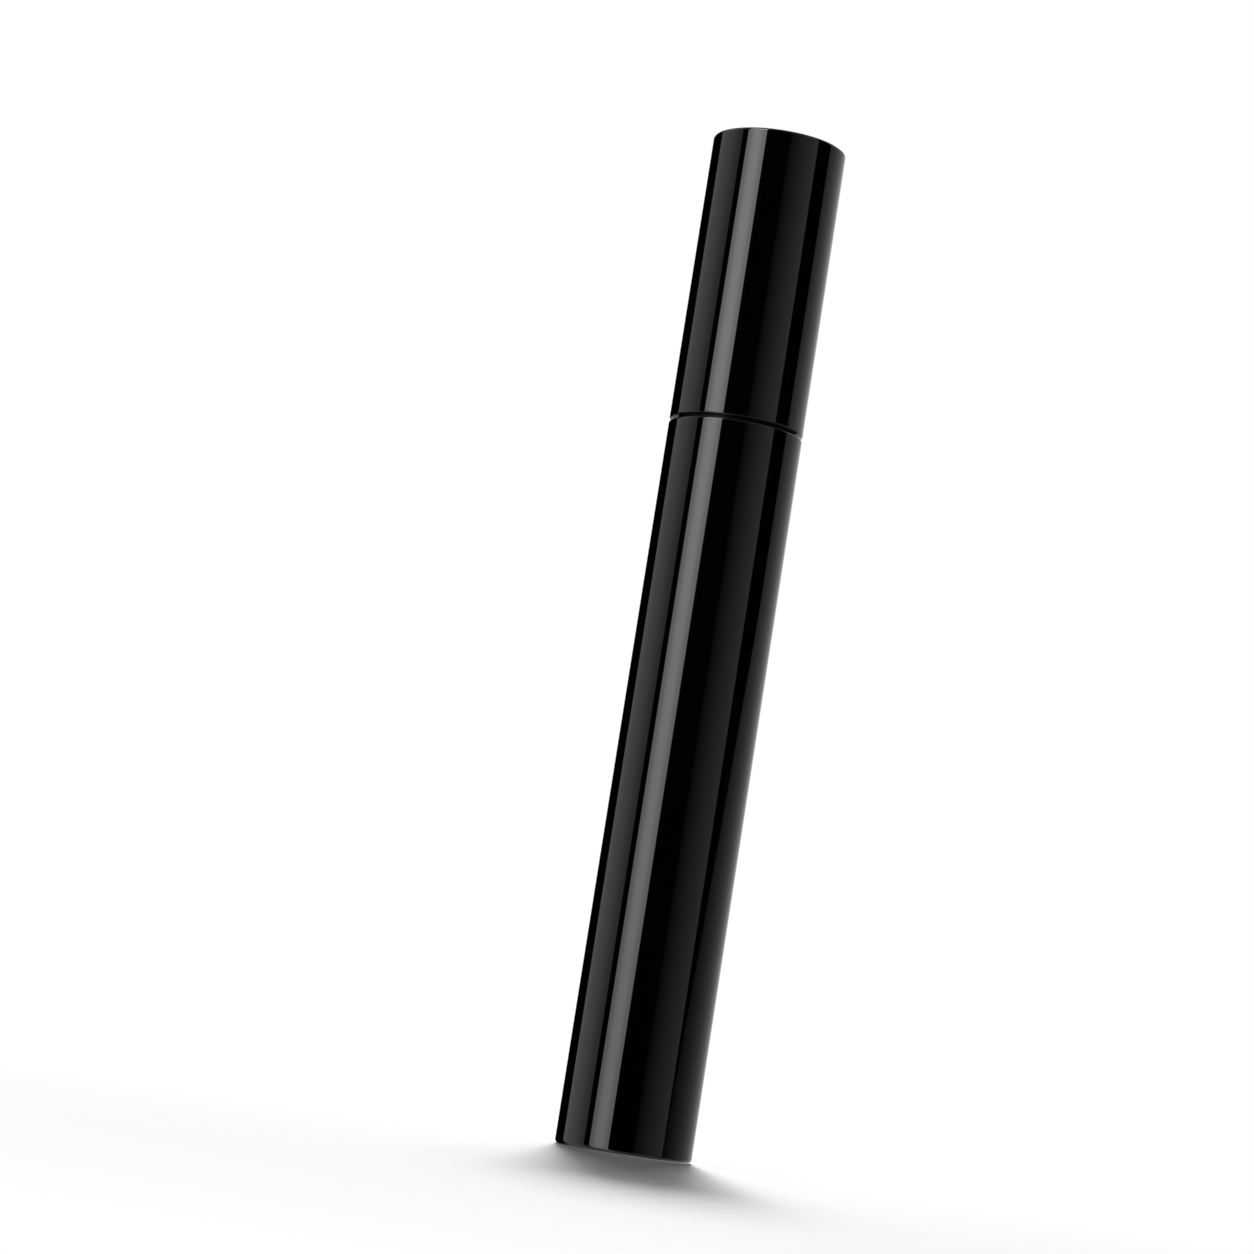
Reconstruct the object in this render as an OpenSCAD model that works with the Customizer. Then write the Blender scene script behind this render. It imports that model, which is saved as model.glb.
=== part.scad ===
// Mascara tube: a straight gloss tube with a screw cap that carries the wand and its brush.
// It stands on its base at z = 0 and everything is turned about the Z axis. Millimetres.

/* [Tube] */
// Outside diameter of the bottle and of the cap
tube_d = 16.4; // [15.6:0.1:20]
// Height of the outer casing, from the base to its rim at the seam
casing_h = 88; // [84:0.5:110]
// Height of the cap shell
cap_h = 35.6; // [35:0.1:42]
// Open groove between the casing and the cap
seam_gap = 0.5; // [0.3:0.05:1]
// Edge radius on both sides of the seam
seam_edge_r = 0.16; // [0.05:0.01:0.35]
// Edge radius round the top of the cap
crown_edge_r = 0.3; // [0.1:0.05:0.8]
// Edge radius round the foot of the tube
foot_edge_r = 0.55; // [0.2:0.05:0.9]

/* [Outer casing] */
// Wall of the outer casing
casing_wall = 1; // [0.8:0.05:1.1]
// Floor of the outer casing, above the foot recess
casing_floor = 1.1; // [0.8:0.1:2]
// Width of the ring that the tube stands on
foot_w = 1.9; // [1.2:0.1:3]
// Depth of the recess under the base
foot_recess = 0.4; // [0.2:0.1:0.8]
// Depth of the snap groove that holds the inner bottle
snap_depth = 0.2; // [0.1:0.05:0.3]
// Height of each snap bead
snap_h = 0.8; // [0.5:0.1:1.2]

/* [Base weight] */
// Thickness of the steel disc in the base
base_weight_h = 3; // [1.5:0.5:5]
// Pip on the casing floor that centres the disc
pip_d = 2.4; // [1.5:0.1:4]
// Edge chamfer on both steel weights
weight_chamfer = 0.4; // [0.2:0.1:0.8]

/* [Inner bottle] */
// Wall of the inner bottle
bottle_wall = 0.75; // [0.6:0.05:0.9]
// Floor of the inner bottle
bottle_floor = 1.2; // [0.8:0.1:2]
// Radius inside the bottom corner of the reservoir
bottle_corner_r = 1.4; // [0.6:0.1:2]
// Depth of the bottle's shoulder below the casing rim
shoulder_drop = 2.4; // [2:0.1:4]
// Radius of the sloping shoulder
shoulder_r = 1.4; // [0.8:0.1:1.6]
// Wall of the neck, without its thread
neck_wall = 1.2; // [1:0.05:1.4]
// Height of the neck above the casing rim
neck_rise = 13.5; // [12.5:0.5:15]
// Room for the screw thread between the neck and the inner cap
thread_room = 0.6; // [0.5:0.05:0.65]
// Height of the stop bead below the thread
stop_bead_h = 1; // [0.6:0.1:1.4]
// Height of the stop bead above the rim of the inner cap
stop_bead_lift = 0.5; // [0.3:0.1:1]

/* [Neck collar] */
// Height of the collar above the casing rim
collar_rise = 1.6; // [1:0.1:1.8]
// Radial gap between the collar and the bore of the cap
collar_gap = 0.35; // [0.3:0.05:0.5]
// Height of the groove that the neck's bead snaps into
collar_groove_h = 1; // [0.9:0.05:1.2]

/* [Wiper] */
// Thickness of the flange on the neck rim
wiper_flange_t = 0.8; // [0.5:0.1:1.2]
// Wall of the wiper plug
wiper_wall = 0.6; // [0.4:0.05:0.7]
// Length of the straight plug inside the neck
wiper_plug_h = 11; // [9:0.5:12]
// Length of the cone that leads to the wiping lip
wiper_cone_h = 4.2; // [3:0.2:5]
// Thickness of the wiping lip
wiper_lip_t = 0.7; // [0.4:0.1:1]
// Depth of the bead that holds the wiper in the neck
wiper_bead = 0.2; // [0.1:0.05:0.3]

/* [Seal washer] */
// Thickness of the foam washer between the wiper and the cap
washer_t = 1; // [0.6:0.1:1.5]

/* [Cap] */
// Wall of the cap shell
cap_wall = 0.9; // [0.7:0.05:0.95]
// Thickness of the cap's top
cap_top_t = 1.2; // [0.8:0.1:1.6]
// Height from the cap's rim to the rim of the inner cap
liner_inset = 1.9; // [1.7:0.1:3]
// Thickness of the inner cap's ceiling
ceiling_t = 1.5; // [1:0.1:2]
// Height of the rod socket above the ceiling
socket_h = 8.7; // [6:0.1:9]
// Wall of the rod socket
socket_wall = 1.1; // [0.8:0.1:1.5]
// Number of ribs from the socket to the wall of the inner cap
socket_ribs = 8; // [4:1:12]
// Thickness of those ribs
rib_t = 0.8; // [0.5:0.1:1.2]
// Number of crush ribs along the outside of the inner cap
crush_ribs = 12; // [6:1:24]
// Width of each crush rib
crush_rib_w = 0.8; // [0.5:0.1:1.2]
// Wall of the threaded skirt of the inner cap
skirt_wall = 1.1; // [0.8:0.05:1.2]
// Height of the stop ring that holds the crown weight down
stop_ring_h = 2.16; // [1:0.01:5]
// Bore through the crown weight
cap_weight_bore_d = 3.2; // [2:0.2:5]

/* [Wand] */
// Diameter of the rod
rod_d = 3.8; // [3.2:0.1:4.2]
// Height from the floor of the reservoir to the tip of the brush wire
tip_clearance = 4.5; // [4:0.1:12]
// Diameter of the rod's head in its socket
head_d = 5.2; // [4.8:0.1:5.6]
// Length of the taper at the rod's lower end
rod_taper_h = 2.2; // [1:0.2:4]
// Diameter of the rod's lower end
rod_end_d = 2.9; // [2.6:0.1:3.1]
// Length of brush wire staked inside the rod
staked_len = 5.6; // [4:0.2:9]
// How far the rod's head stops below the top of its socket
head_drop = 0.5; // [0.3:0.1:1.5]

/* [Brush] */
// Length that carries bristles
brush_len = 26; // [20:0.5:27]
// Largest diameter of the brush
brush_d = 6.8; // [5:0.1:7.6]
// Diameter of the brush at its tip
brush_tip_d = 3.4; // [2.4:0.1:5]
// Diameter of the brush next to the rod
brush_root_d = 5.4; // [3.6:0.1:6.6]
// Bare wire between the rod and the bristles
bare_wire = 1; // [0.5:0.1:2]
// Bare wire below the last bristle
tip_wire = 0.8; // [0.4:0.1:1.5]
// Diameter of each of the two twisted wires
wire_d = 0.7; // [0.55:0.05:0.8]
// Length of one full twist of the wires
twist_pitch = 2.8; // [2.4:0.1:4]
// Bristles on each side of the wires
bristle_rows = 152; // [150:1:200]
// Thickness of one bristle
bristle_d = 0.09; // [0.07:0.01:0.11]

/* [Clearances] */
// Radial gap between pieces that are pushed together and stay together
seat_gap = 0.1; // [0.05:0.01:0.12]
// Radial gap between the rod and what slides on it
running_gap = 0.07; // [0.04:0.01:0.1]
// Gap all round the crown weight
weight_gap = 0.12; // [0.08:0.01:0.15]
// Half the room between each wire and the bristles that it grips
grip_gap = 0.05; // [0.04:0.01:0.06]

/* [Hidden] */

gloss_black = "#0b0b0d";
satin_black = "#17171a";
natural_plastic = "#d9d9d4";
steel = "#a9abad";

turn_fn = 96;
over = 0.5;                                     // how far a cutter runs past what it cuts
edge_soft = 0.25;                               // small edge radius on moulded pieces

// Radii, from the outside in
tube_r = tube_d / 2;
casing_bore_r = tube_r - casing_wall;
bottle_r = casing_bore_r - seat_gap;
reservoir_r = bottle_r - bottle_wall;
cap_bore_r = tube_r - cap_wall;
liner_r = cap_bore_r - 2 * seat_gap;
thread_bore_r = liner_r - skirt_wall;
neck_r = thread_bore_r - thread_room - seat_gap;
neck_bore_r = neck_r - neck_wall;
collar_r = min(cap_bore_r - collar_gap, bottle_r - seat_gap);
crush_r = cap_bore_r - seat_gap / 3;
crown_weight_r = cap_bore_r - weight_gap;
rod_r = rod_d / 2;
head_r = head_d / 2;
wiper_r = neck_bore_r - seat_gap / 2;
lip_r = rod_r + running_gap;
stop_bead_r = neck_r + thread_room * 0.7;

// Heights, from the base up
casing_floor_z = foot_recess + casing_floor;
bottle_z = casing_floor_z + base_weight_h;
reservoir_z = bottle_z + bottle_floor;
shoulder_z = casing_h - shoulder_drop;
snap_z = shoulder_z - shoulder_r - 2 * snap_h;
neck_z = casing_h + neck_rise;
flange_z = neck_z + wiper_flange_t;
ceiling_z = flange_z + washer_t;
cap_z = casing_h + seam_gap;
cap_top_z = cap_z + cap_h;
liner_z = cap_z + liner_inset;
liner_top_z = ceiling_z + ceiling_t + socket_h;
crown_weight_z = liner_top_z + weight_gap;
roof_z = cap_top_z - cap_top_t;
stop_z = roof_z - stop_ring_h;
crown_weight_top_z = stop_z - weight_gap;
head_top_z = liner_top_z - head_drop;
stop_bead_z = liner_z + stop_bead_lift;
liner_snap_z = liner_z + 2;
socket_snap_z = ceiling_z + ceiling_t + socket_h / 2;

// Brush wire, from its tip up
wire_tip_z = reservoir_z + tip_clearance;
rod_end_z = wire_tip_z + tip_wire + brush_len + bare_wire;
wire_r = wire_d / 2;
wire_offset = wire_r + bristle_d / 2 + grip_gap;
wire_len = rod_end_z + staked_len - wire_tip_z;
core_r = wire_offset + wire_r;
wire_steps_per_turn = 10;
wire_sides = 8;

// ---- Half-section helpers: X is the radius and Y is the height ----

// A rectangle between two radii and two heights
module band(r0, r1, z0, z1) {
  translate([r0, z0]) square([r1 - r0, z1 - z0]);
}

// Turns a half-section round the Z axis
module turned() {
  rotate_extrude($fn = turn_fn) children();
}

// What lies outside a quarter round of radius f in the corner of a square
module quarter_waste(f) {
  difference() {
    square(f + over);
    circle(f, $fn = turn_fn);
  }
}

// Cutter that rounds a corner at (r, z). side: 1 outside, -1 inside. up: 1 top, -1 bottom.
module round_off(r, z, f, side = 1, up = 1) {
  translate([r, z]) mirror([side < 0 ? 1 : 0, 0]) mirror([0, up < 0 ? 1 : 0])
    translate([-f, -f]) quarter_waste(f);
}

// Web that fills an inside corner at (r, z), growing towards side and up
module fill_in(r, z, f, side = 1, up = 1) {
  translate([r, z]) mirror([side < 0 ? 1 : 0, 0]) mirror([0, up < 0 ? 1 : 0])
    difference() {
      square(f);
      translate([f, f]) circle(f, $fn = turn_fn);
    }
}

// Straight cone or chamfer between two radii, closed on the axis side at r_in
module slope(r_in, r0, z0, r1, z1) {
  polygon([[r_in, z0], [r0, z0], [r1, z1], [r_in, z1]]);
}

// ---- Bottle ----

// Gloss outer casing: one moulding, open at the top, with a foot ring and a centring pip
module outer_casing() {
  color(gloss_black) {
    turned() {
      difference() {
        band(0, tube_r, 0, casing_h);
        band(0, casing_bore_r, casing_floor_z, casing_h + over);
        band(0, tube_r - foot_w, -over, foot_recess);
        band(casing_bore_r - over, casing_bore_r + snap_depth, snap_z, snap_z + snap_h);
        round_off(tube_r, 0, foot_edge_r, 1, -1);
        round_off(tube_r, casing_h, seam_edge_r, 1, 1);
        round_off(casing_bore_r, casing_h, seam_edge_r, -1, 1);
      }
      fill_in(casing_bore_r, casing_floor_z, weight_chamfer / 2, -1, 1);
    }
    translate([0, 0, casing_floor_z - casing_floor / 2])
      cylinder(d = pip_d, h = casing_floor / 2 + base_weight_h / 2, $fn = turn_fn);
  }
}

// Steel disc that steadies the tube, dropped over the pip on the casing floor
module base_weight() {
  color(steel) turned() difference() {
    band(pip_d / 2 + seat_gap, bottle_r, casing_floor_z, bottle_z);
    translate([bottle_r, bottle_z]) rotate(45) square(weight_chamfer * sqrt(2), center = true);
    translate([bottle_r, casing_floor_z]) rotate(45) square(weight_chamfer * sqrt(2), center = true);
  }
}

// Inner bottle: the reservoir, its shoulder and the neck that the cap screws on
module inner_bottle() {
  color(natural_plastic) turned() {
    difference() {
      union() {
        band(0, bottle_r, bottle_z, shoulder_z);
        band(0, neck_r, shoulder_z - over, neck_z);
        slope(0, bottle_r + snap_depth - seat_gap / 2, snap_z + snap_h * 0.3,
              bottle_r - seat_gap / 2, snap_z + snap_h * 0.9);
        band(0, stop_bead_r, stop_bead_z, stop_bead_z + stop_bead_h);
        band(0, neck_r + snap_depth, casing_h - snap_h, casing_h);
      }
      band(-over, reservoir_r, reservoir_z, shoulder_z - bottle_wall * 1.6);
      band(-over, neck_bore_r, reservoir_z, neck_z + over);
      band(0, neck_bore_r + wiper_bead, neck_z - wiper_plug_h / 2 - snap_h / 2,
           neck_z - wiper_plug_h / 2 + snap_h / 2);
      round_off(bottle_r, bottle_z, bottle_corner_r, 1, -1);
      round_off(bottle_r, shoulder_z, shoulder_r, 1, 1);
      round_off(neck_r, neck_z, edge_soft, 1, 1);
      round_off(stop_bead_r, stop_bead_z + stop_bead_h, edge_soft, 1, 1);
      round_off(neck_r + snap_depth, casing_h, snap_depth * 0.9, 1, 1);
    }
    fill_in(reservoir_r, reservoir_z, bottle_corner_r, -1, 1);
    fill_in(reservoir_r, shoulder_z - bottle_wall * 1.6, bottle_wall, -1, -1);
    fill_in(neck_r, shoulder_z, edge_soft, 1, 1);
  }
}

// Dark ring that snaps over the neck, closes the casing and shows in the seam
module neck_collar() {
  color(satin_black) turned() difference() {
    union() {
      band(neck_r + edge_soft + seat_gap / 2, bottle_r, shoulder_z, casing_h - seam_edge_r);
      band(neck_r + seat_gap, collar_r, shoulder_z + edge_soft + seat_gap, casing_h + collar_rise);
    }
    band(0, neck_r + snap_depth + seat_gap, casing_h - (snap_h + collar_groove_h) / 2,
         casing_h - (snap_h - collar_groove_h) / 2);
    round_off(collar_r, casing_h + collar_rise, edge_soft * 1.6, 1, 1);
    round_off(neck_r + seat_gap, casing_h + collar_rise, edge_soft, -1, 1);
  }
}

// Soft wiper: flange on the neck rim, plug in the bore, cone and wiping lip round the rod
module wiper() {
  lip_z = neck_z - wiper_plug_h - wiper_cone_h;
  plug_z = neck_z - wiper_plug_h;
  color(satin_black) turned() {
    difference() {
      union() {
        band(0, neck_r - edge_soft, neck_z, flange_z);
        band(0, wiper_r, plug_z, neck_z + over / 2);
        slope(0, lip_r + wiper_wall, lip_z, wiper_r, plug_z);
        band(0, wiper_r + wiper_bead, neck_z - wiper_plug_h / 2 - snap_h * 0.3,
             neck_z - wiper_plug_h / 2 + snap_h * 0.3);
        band(0, lip_r + wiper_wall, lip_z - wiper_lip_t, lip_z);
      }
      slope(-over, lip_r, lip_z, wiper_r - wiper_wall, plug_z);
      band(-over, wiper_r - wiper_wall, plug_z, flange_z + over);
      band(-over, lip_r, lip_z - wiper_lip_t - over, lip_z + over / 10);
      round_off(wiper_r - wiper_wall, flange_z, edge_soft, -1, 1);
      round_off(neck_r - edge_soft, flange_z, edge_soft, 1, 1);
      round_off(lip_r + wiper_wall, lip_z - wiper_lip_t, edge_soft, 1, -1);
    }
  }
}

// ---- Cap ----

// Foam washer, loose on the rod, that seals the cap's ceiling against the wiper
module seal_washer() {
  color(satin_black) turned() difference() {
    band(lip_r, neck_r - edge_soft, flange_z, ceiling_z);
    round_off(neck_r - edge_soft, ceiling_z, washer_t / 4, 1, 1);
    round_off(neck_r - edge_soft, flange_z, washer_t / 4, 1, -1);
  }
}

// Steel slug held captive in the crown, between the inner cap and the stop ring
module cap_weight() {
  bevel = weight_chamfer * sqrt(2);
  color(steel) turned() difference() {
    band(cap_weight_bore_d / 2, crown_weight_r, crown_weight_z, crown_weight_top_z);
    for (z = [crown_weight_z, crown_weight_top_z]) {
      translate([crown_weight_r, z]) rotate(45) square(bevel, center = true);
      translate([cap_weight_bore_d / 2, z]) rotate(45) square(bevel / 2, center = true);
    }
  }
}

// Gloss cap shell, with the snap groove for the inner cap and the stop ring over the weight
module cap_shell() {
  stop_r = crown_weight_r - 2 * weight_chamfer;
  color(gloss_black) turned() {
    difference() {
      band(0, tube_r, cap_z, cap_top_z);
      band(0, cap_bore_r, cap_z - over, roof_z);
      band(cap_bore_r - over, cap_bore_r + snap_depth, liner_snap_z, liner_snap_z + snap_h);
      round_off(tube_r, cap_top_z, crown_edge_r, 1, 1);
      round_off(tube_r, cap_z, seam_edge_r, 1, -1);
      round_off(cap_bore_r, cap_z, seam_edge_r, -1, -1);
    }
    band(stop_r - cap_wall, stop_r, stop_z, roof_z + cap_top_t / 4);
    fill_in(cap_bore_r, roof_z, weight_chamfer, -1, -1);
  }
}

// Inner cap: threaded skirt, ceiling, rod socket with ribs, and crush ribs outside
module inner_cap() {
  socket_r = head_r + seat_gap + socket_wall;
  wall_r = liner_r - cap_wall;
  color(natural_plastic) difference() {
    union() {
      turned() {
        band(thread_bore_r, liner_r, liner_z, ceiling_z + ceiling_t);
        band(0, liner_r, ceiling_z, ceiling_z + ceiling_t);
        band(wall_r, liner_r, ceiling_z, liner_top_z);
        band(0, socket_r, ceiling_z, liner_top_z);
        slope(liner_r - over, cap_bore_r + snap_depth - seat_gap, liner_snap_z + snap_h * 0.3,
              cap_bore_r - seat_gap / 2, liner_snap_z + snap_h * 0.8);
        fill_in(thread_bore_r, ceiling_z, edge_soft, -1, -1);
      }
      for (i = [0 : socket_ribs - 1])
        rotate(i * 360 / socket_ribs)
          translate([socket_r - over, -rib_t / 2, ceiling_z + ceiling_t / 2])
            cube([wall_r - socket_r + 1.5 * over, rib_t, liner_top_z - ceiling_z - ceiling_t / 2 - over]);
      for (i = [0 : crush_ribs - 1])
        rotate((i + 0.5) * 360 / crush_ribs)
          translate([0, 0, liner_snap_z + 2 * snap_h])
            intersection() {
              cylinder(r = crush_r, h = liner_top_z - liner_snap_z - 3 * snap_h, $fn = turn_fn);
              translate([liner_r - over, -crush_rib_w / 2, 0]) cube([over + cap_wall, crush_rib_w, cap_h]);
            }
    }
    turned() {
      band(0, head_r + seat_gap, ceiling_z - over, liner_top_z + over);
      band(0, head_r + seat_gap + snap_depth, socket_snap_z, socket_snap_z + snap_h);
      round_off(liner_r, liner_z, edge_soft, 1, -1);
      round_off(thread_bore_r, liner_z, edge_soft, -1, -1);
    }
  }
}

// ---- Wand ----

// Moulded rod: a barbed head in the socket, a plain stem and a bored, tapered end
module wand_rod() {
  color(satin_black) turned() difference() {
    union() {
      band(0, rod_r, rod_end_z + rod_taper_h, ceiling_z + over);
      slope(0, rod_end_d / 2, rod_end_z, rod_r, rod_end_z + rod_taper_h);
      band(0, head_r, ceiling_z, head_top_z);
      slope(0, head_r + snap_depth, socket_snap_z + snap_h * 0.15,
            head_r - seat_gap / 2, socket_snap_z + snap_h * 0.85);
    }
    band(-over, core_r + seat_gap / 2, rod_end_z - over, rod_end_z + staked_len + wire_d + seat_gap);
    round_off(rod_end_d / 2, rod_end_z, edge_soft, 1, -1);
    round_off(head_r, head_top_z, 2 * edge_soft, 1, 1);
  }
}

// Two wires twisted together; they are one length, folded over inside the rod
module brush_core() {
  color(steel) translate([0, 0, wire_tip_z]) {
    linear_extrude(height = wire_len, twist = -360 * wire_len / twist_pitch,
                   slices = round(wire_steps_per_turn * wire_len / twist_pitch))
      for (side = [-1, 1])
        translate([0, side * wire_offset]) circle(wire_r, $fn = wire_sides);
    translate([0, 0, wire_len]) rotate(360 * wire_len / twist_pitch)
      rotate([90, 0, 90]) rotate_extrude(angle = 180, $fn = wire_sides)
        translate([wire_offset, 0]) circle(wire_r, $fn = wire_sides);
  }
}

// Trimmed radius of the brush at a share t of its length, from the tip
function trim_r(t) =
  let (tip = min(1, t / 0.45), root = min(1, (1 - t) / 0.2))
  brush_tip_d / 2 * (1 - sin(90 * tip)) + brush_d / 2 * sin(90 * tip)
  - (brush_d - brush_root_d) / 2 * (1 - root);

// Direction of the bristles at a height above the wire's tip
function twist_at(z) = 360 * z / twist_pitch;

// A point at x along the bristles and y across them, where they are turned to angle a
function turned_point(x, y, z, a) = [x * cos(a) - y * sin(a), x * sin(a) + y * cos(a), z];

// Two triangles of a four-cornered face
function quad(a, b, c, d) = [[a, b, c], [a, c, d]];

// Bristles: a comb laid flat between the wires and twisted with them. Each tooth of the
// comb is one bristle, and the strip that joins them is what the wires grip.
module brush_bristles() {
  n = bristle_rows;
  step = (brush_len - bristle_d) / (n - 1);
  strip = wire_offset * 1.5;
  half = bristle_d / 2;
  thin = half * 0.7;
  // Eight points at the foot and head of each tooth, then eight at its two ends
  points = [
    for (k = [0 : n - 1])
      let (z = tip_wire + k * step,
           mid = twist_at(z + half),
           r = trim_r(k / (n - 1)))
      each [
        for (h = [0, bristle_d], c = [[1, -1], [1, 1], [-1, 1], [-1, -1]])
          turned_point(c.x * strip, c.y * half, z + h, twist_at(z + h)),
        for (h = [half - thin, half + thin], c = [[1, -1], [1, 1], [-1, 1], [-1, -1]])
          turned_point(c.x * r, c.y * thin, z + h, mid)
      ]
  ];
  faces = [
    each quad(0, 1, 2, 3),
    for (k = [0 : n - 1])
      let (a = 16 * k, b = a + 4, c = a + 8, d = a + 12, up = a + 16)
      each concat(
        quad(a + 2, a + 1, b + 1, b + 2),
        quad(a, a + 3, b + 3, b),
        [for (s = [0, 2])
          each concat(
            quad(a + s + 1, a + s, c + s, c + s + 1),
            quad(b + s, b + s + 1, d + s + 1, d + s),
            quad(a + s, b + s, d + s, c + s),
            quad(b + s + 1, a + s + 1, c + s + 1, d + s + 1),
            quad(c + s + 1, c + s, d + s, d + s + 1))],
        k == n - 1 ? quad(b + 3, b + 2, b + 1, b)
                   : concat(quad(b + 1, b, up, up + 1), quad(b + 2, b + 1, up + 1, up + 2),
                            quad(b + 3, b + 2, up + 2, up + 3), quad(b, b + 3, up + 3, up)))
  ];
  color(satin_black) translate([0, 0, wire_tip_z]) polyhedron(points, faces);
}

outer_casing();
base_weight();
inner_bottle();
neck_collar();
wiper();
seal_washer();
cap_weight();
cap_shell();
inner_cap();
wand_rod();
brush_core();
brush_bristles();
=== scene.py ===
"""Looks of a straight gloss mascara tube: casing, bottle, wiper, screw cap, wand and brush.

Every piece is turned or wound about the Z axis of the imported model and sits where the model's
own node sits. Sizes are in millimetres in the classes and become metres in the meshes.
"""
from __future__ import annotations

import logging
import math
from dataclasses import dataclass, field
from enum import Enum
from typing import Any, Sequence

import bmesh
import bpy
from mathutils import Matrix, Vector


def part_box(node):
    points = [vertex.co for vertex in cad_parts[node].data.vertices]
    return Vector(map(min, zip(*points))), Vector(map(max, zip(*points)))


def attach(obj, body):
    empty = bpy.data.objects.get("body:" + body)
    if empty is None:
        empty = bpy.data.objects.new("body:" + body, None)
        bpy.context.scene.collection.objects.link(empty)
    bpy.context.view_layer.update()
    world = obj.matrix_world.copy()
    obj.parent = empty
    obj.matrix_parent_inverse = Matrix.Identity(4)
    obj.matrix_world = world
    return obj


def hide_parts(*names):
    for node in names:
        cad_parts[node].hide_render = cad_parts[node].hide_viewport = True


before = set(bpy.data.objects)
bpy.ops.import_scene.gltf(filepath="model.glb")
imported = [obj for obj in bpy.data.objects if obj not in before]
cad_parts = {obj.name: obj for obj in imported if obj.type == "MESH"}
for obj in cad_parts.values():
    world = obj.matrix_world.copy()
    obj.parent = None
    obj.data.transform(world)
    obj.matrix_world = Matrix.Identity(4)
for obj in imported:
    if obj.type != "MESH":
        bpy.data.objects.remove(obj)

log = logging.getLogger("mascara_tube")
MM = 0.001
# A Mix node has one Result for each data type, and the colour one is number 2.
COLOUR_RESULT = 2


# ---------------------------------------------------------------- node trees


class Value:
    """A socket in a node tree, on which Python's operators add Math nodes."""

    def __init__(self, sketch: "NodeSketch", socket: bpy.types.NodeSocket) -> None:
        """Wraps a socket.

        Args:
            sketch: the tree that the socket belongs to.
            socket: the output socket.
        """
        self.sketch = sketch
        self.socket = socket

    def _math(self, operation: str, first: Any, second: Any = None) -> "Value":
        """Adds one Math node and returns its result."""
        inputs = {0: first} if second is None else {0: first, 1: second}
        return self.sketch.value("ShaderNodeMath", {"operation": operation}, inputs)

    def __add__(self, other: Any) -> "Value":
        """This value plus another."""
        return self._math("ADD", self, other)

    __radd__ = __add__

    def __sub__(self, other: Any) -> "Value":
        """This value minus another."""
        return self._math("SUBTRACT", self, other)

    def __rsub__(self, other: Any) -> "Value":
        """Another value minus this one."""
        return self._math("SUBTRACT", other, self)

    def __mul__(self, other: Any) -> "Value":
        """This value times another."""
        return self._math("MULTIPLY", self, other)

    __rmul__ = __mul__

    def __truediv__(self, other: Any) -> "Value":
        """This value over another."""
        return self._math("DIVIDE", self, other)

    def __rtruediv__(self, other: Any) -> "Value":
        """Another value over this one."""
        return self._math("DIVIDE", other, self)

    def __pow__(self, other: Any) -> "Value":
        """This value to a power."""
        return self._math("POWER", self, other)

    def __rpow__(self, other: Any) -> "Value":
        """Another value to the power of this one."""
        return self._math("POWER", other, self)

    def minimum(self, other: Any) -> "Value":
        """The smaller of this value and another."""
        return self._math("MINIMUM", self, other)

    def maximum(self, other: Any) -> "Value":
        """The larger of this value and another."""
        return self._math("MAXIMUM", self, other)

    def absolute(self) -> "Value":
        """This value without its sign."""
        return self._math("ABSOLUTE", self)

    def sine(self) -> "Value":
        """The sine of this value in radians."""
        return self._math("SINE", self)

    def arcsine(self) -> "Value":
        """The angle in radians that has this sine."""
        return self._math("ARCSINE", self)

    def bearing_over(self, other: Any) -> "Value":
        """The angle in radians of the point that has this value as Y and another as X."""
        return self._math("ARCTAN2", self, other)

    def fraction(self) -> "Value":
        """What is left of this value above the whole number below it."""
        return self._math("FRACT", self)

    def step(self, low: float, high: float) -> "Value":
        """Rises smoothly from 0 at low to 1 at high.

        Args:
            low: the last value that gives 0.
            high: the first value that gives 1.

        Returns:
            The step.
        """
        return self.sketch.value(
            "ShaderNodeMapRange",
            {"interpolation_type": "SMOOTHSTEP"},
            {"Value": self, "From Min": low, "From Max": high},
        )


class NodeSketch:
    """Writes a node tree: one method for any node, and one that returns a node's result."""

    def __init__(self, tree: bpy.types.NodeTree) -> None:
        """Starts on a tree.

        Args:
            tree: the shader or geometry tree to write.
        """
        self.tree = tree

    def node(self, kind: str, settings: dict[str, Any] | None = None,
             inputs: dict[Any, Any] | None = None) -> bpy.types.Node:
        """Adds a node.

        Args:
            kind: the node's type name.
            settings: its properties, set before its sockets.
            inputs: values, Values or sockets by the input's name or number.

        Returns:
            The new node.
        """
        made = self.tree.nodes.new(kind)
        for key, setting in (settings or {}).items():
            setattr(made, key, setting)
        for key, given in (inputs or {}).items():
            socket = self._open_socket(made, key)
            if isinstance(given, Value):
                given = given.socket
            if isinstance(given, bpy.types.NodeSocket):
                self.tree.links.new(given, socket)
            else:
                socket.default_value = given
        return made

    def value(self, kind: str, settings: dict[str, Any] | None = None,
              inputs: dict[Any, Any] | None = None, output: Any = 0) -> Value:
        """Adds a node and returns one of its outputs.

        Args:
            kind: the node's type name.
            settings: its properties.
            inputs: what its sockets take.
            output: the output's name or number.

        Returns:
            The output as a Value.
        """
        return Value(self, self.node(kind, settings, inputs).outputs[output])

    @staticmethod
    def _open_socket(made: bpy.types.Node, key: str | int) -> bpy.types.NodeSocket:
        """Finds an input by number, or by name among those that the settings leave enabled.

        Args:
            made: the node.
            key: the input's number or name.

        Returns:
            The input.
        """
        if isinstance(key, int):
            return made.inputs[key]
        return next(s for s in made.inputs if s.name == key and s.enabled)


# ---------------------------------------------------------------- finishes


def grey(level: float) -> tuple[float, float, float, float]:
    """A neutral colour of one linear level."""
    return (level, level, level, 1.0)


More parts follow.
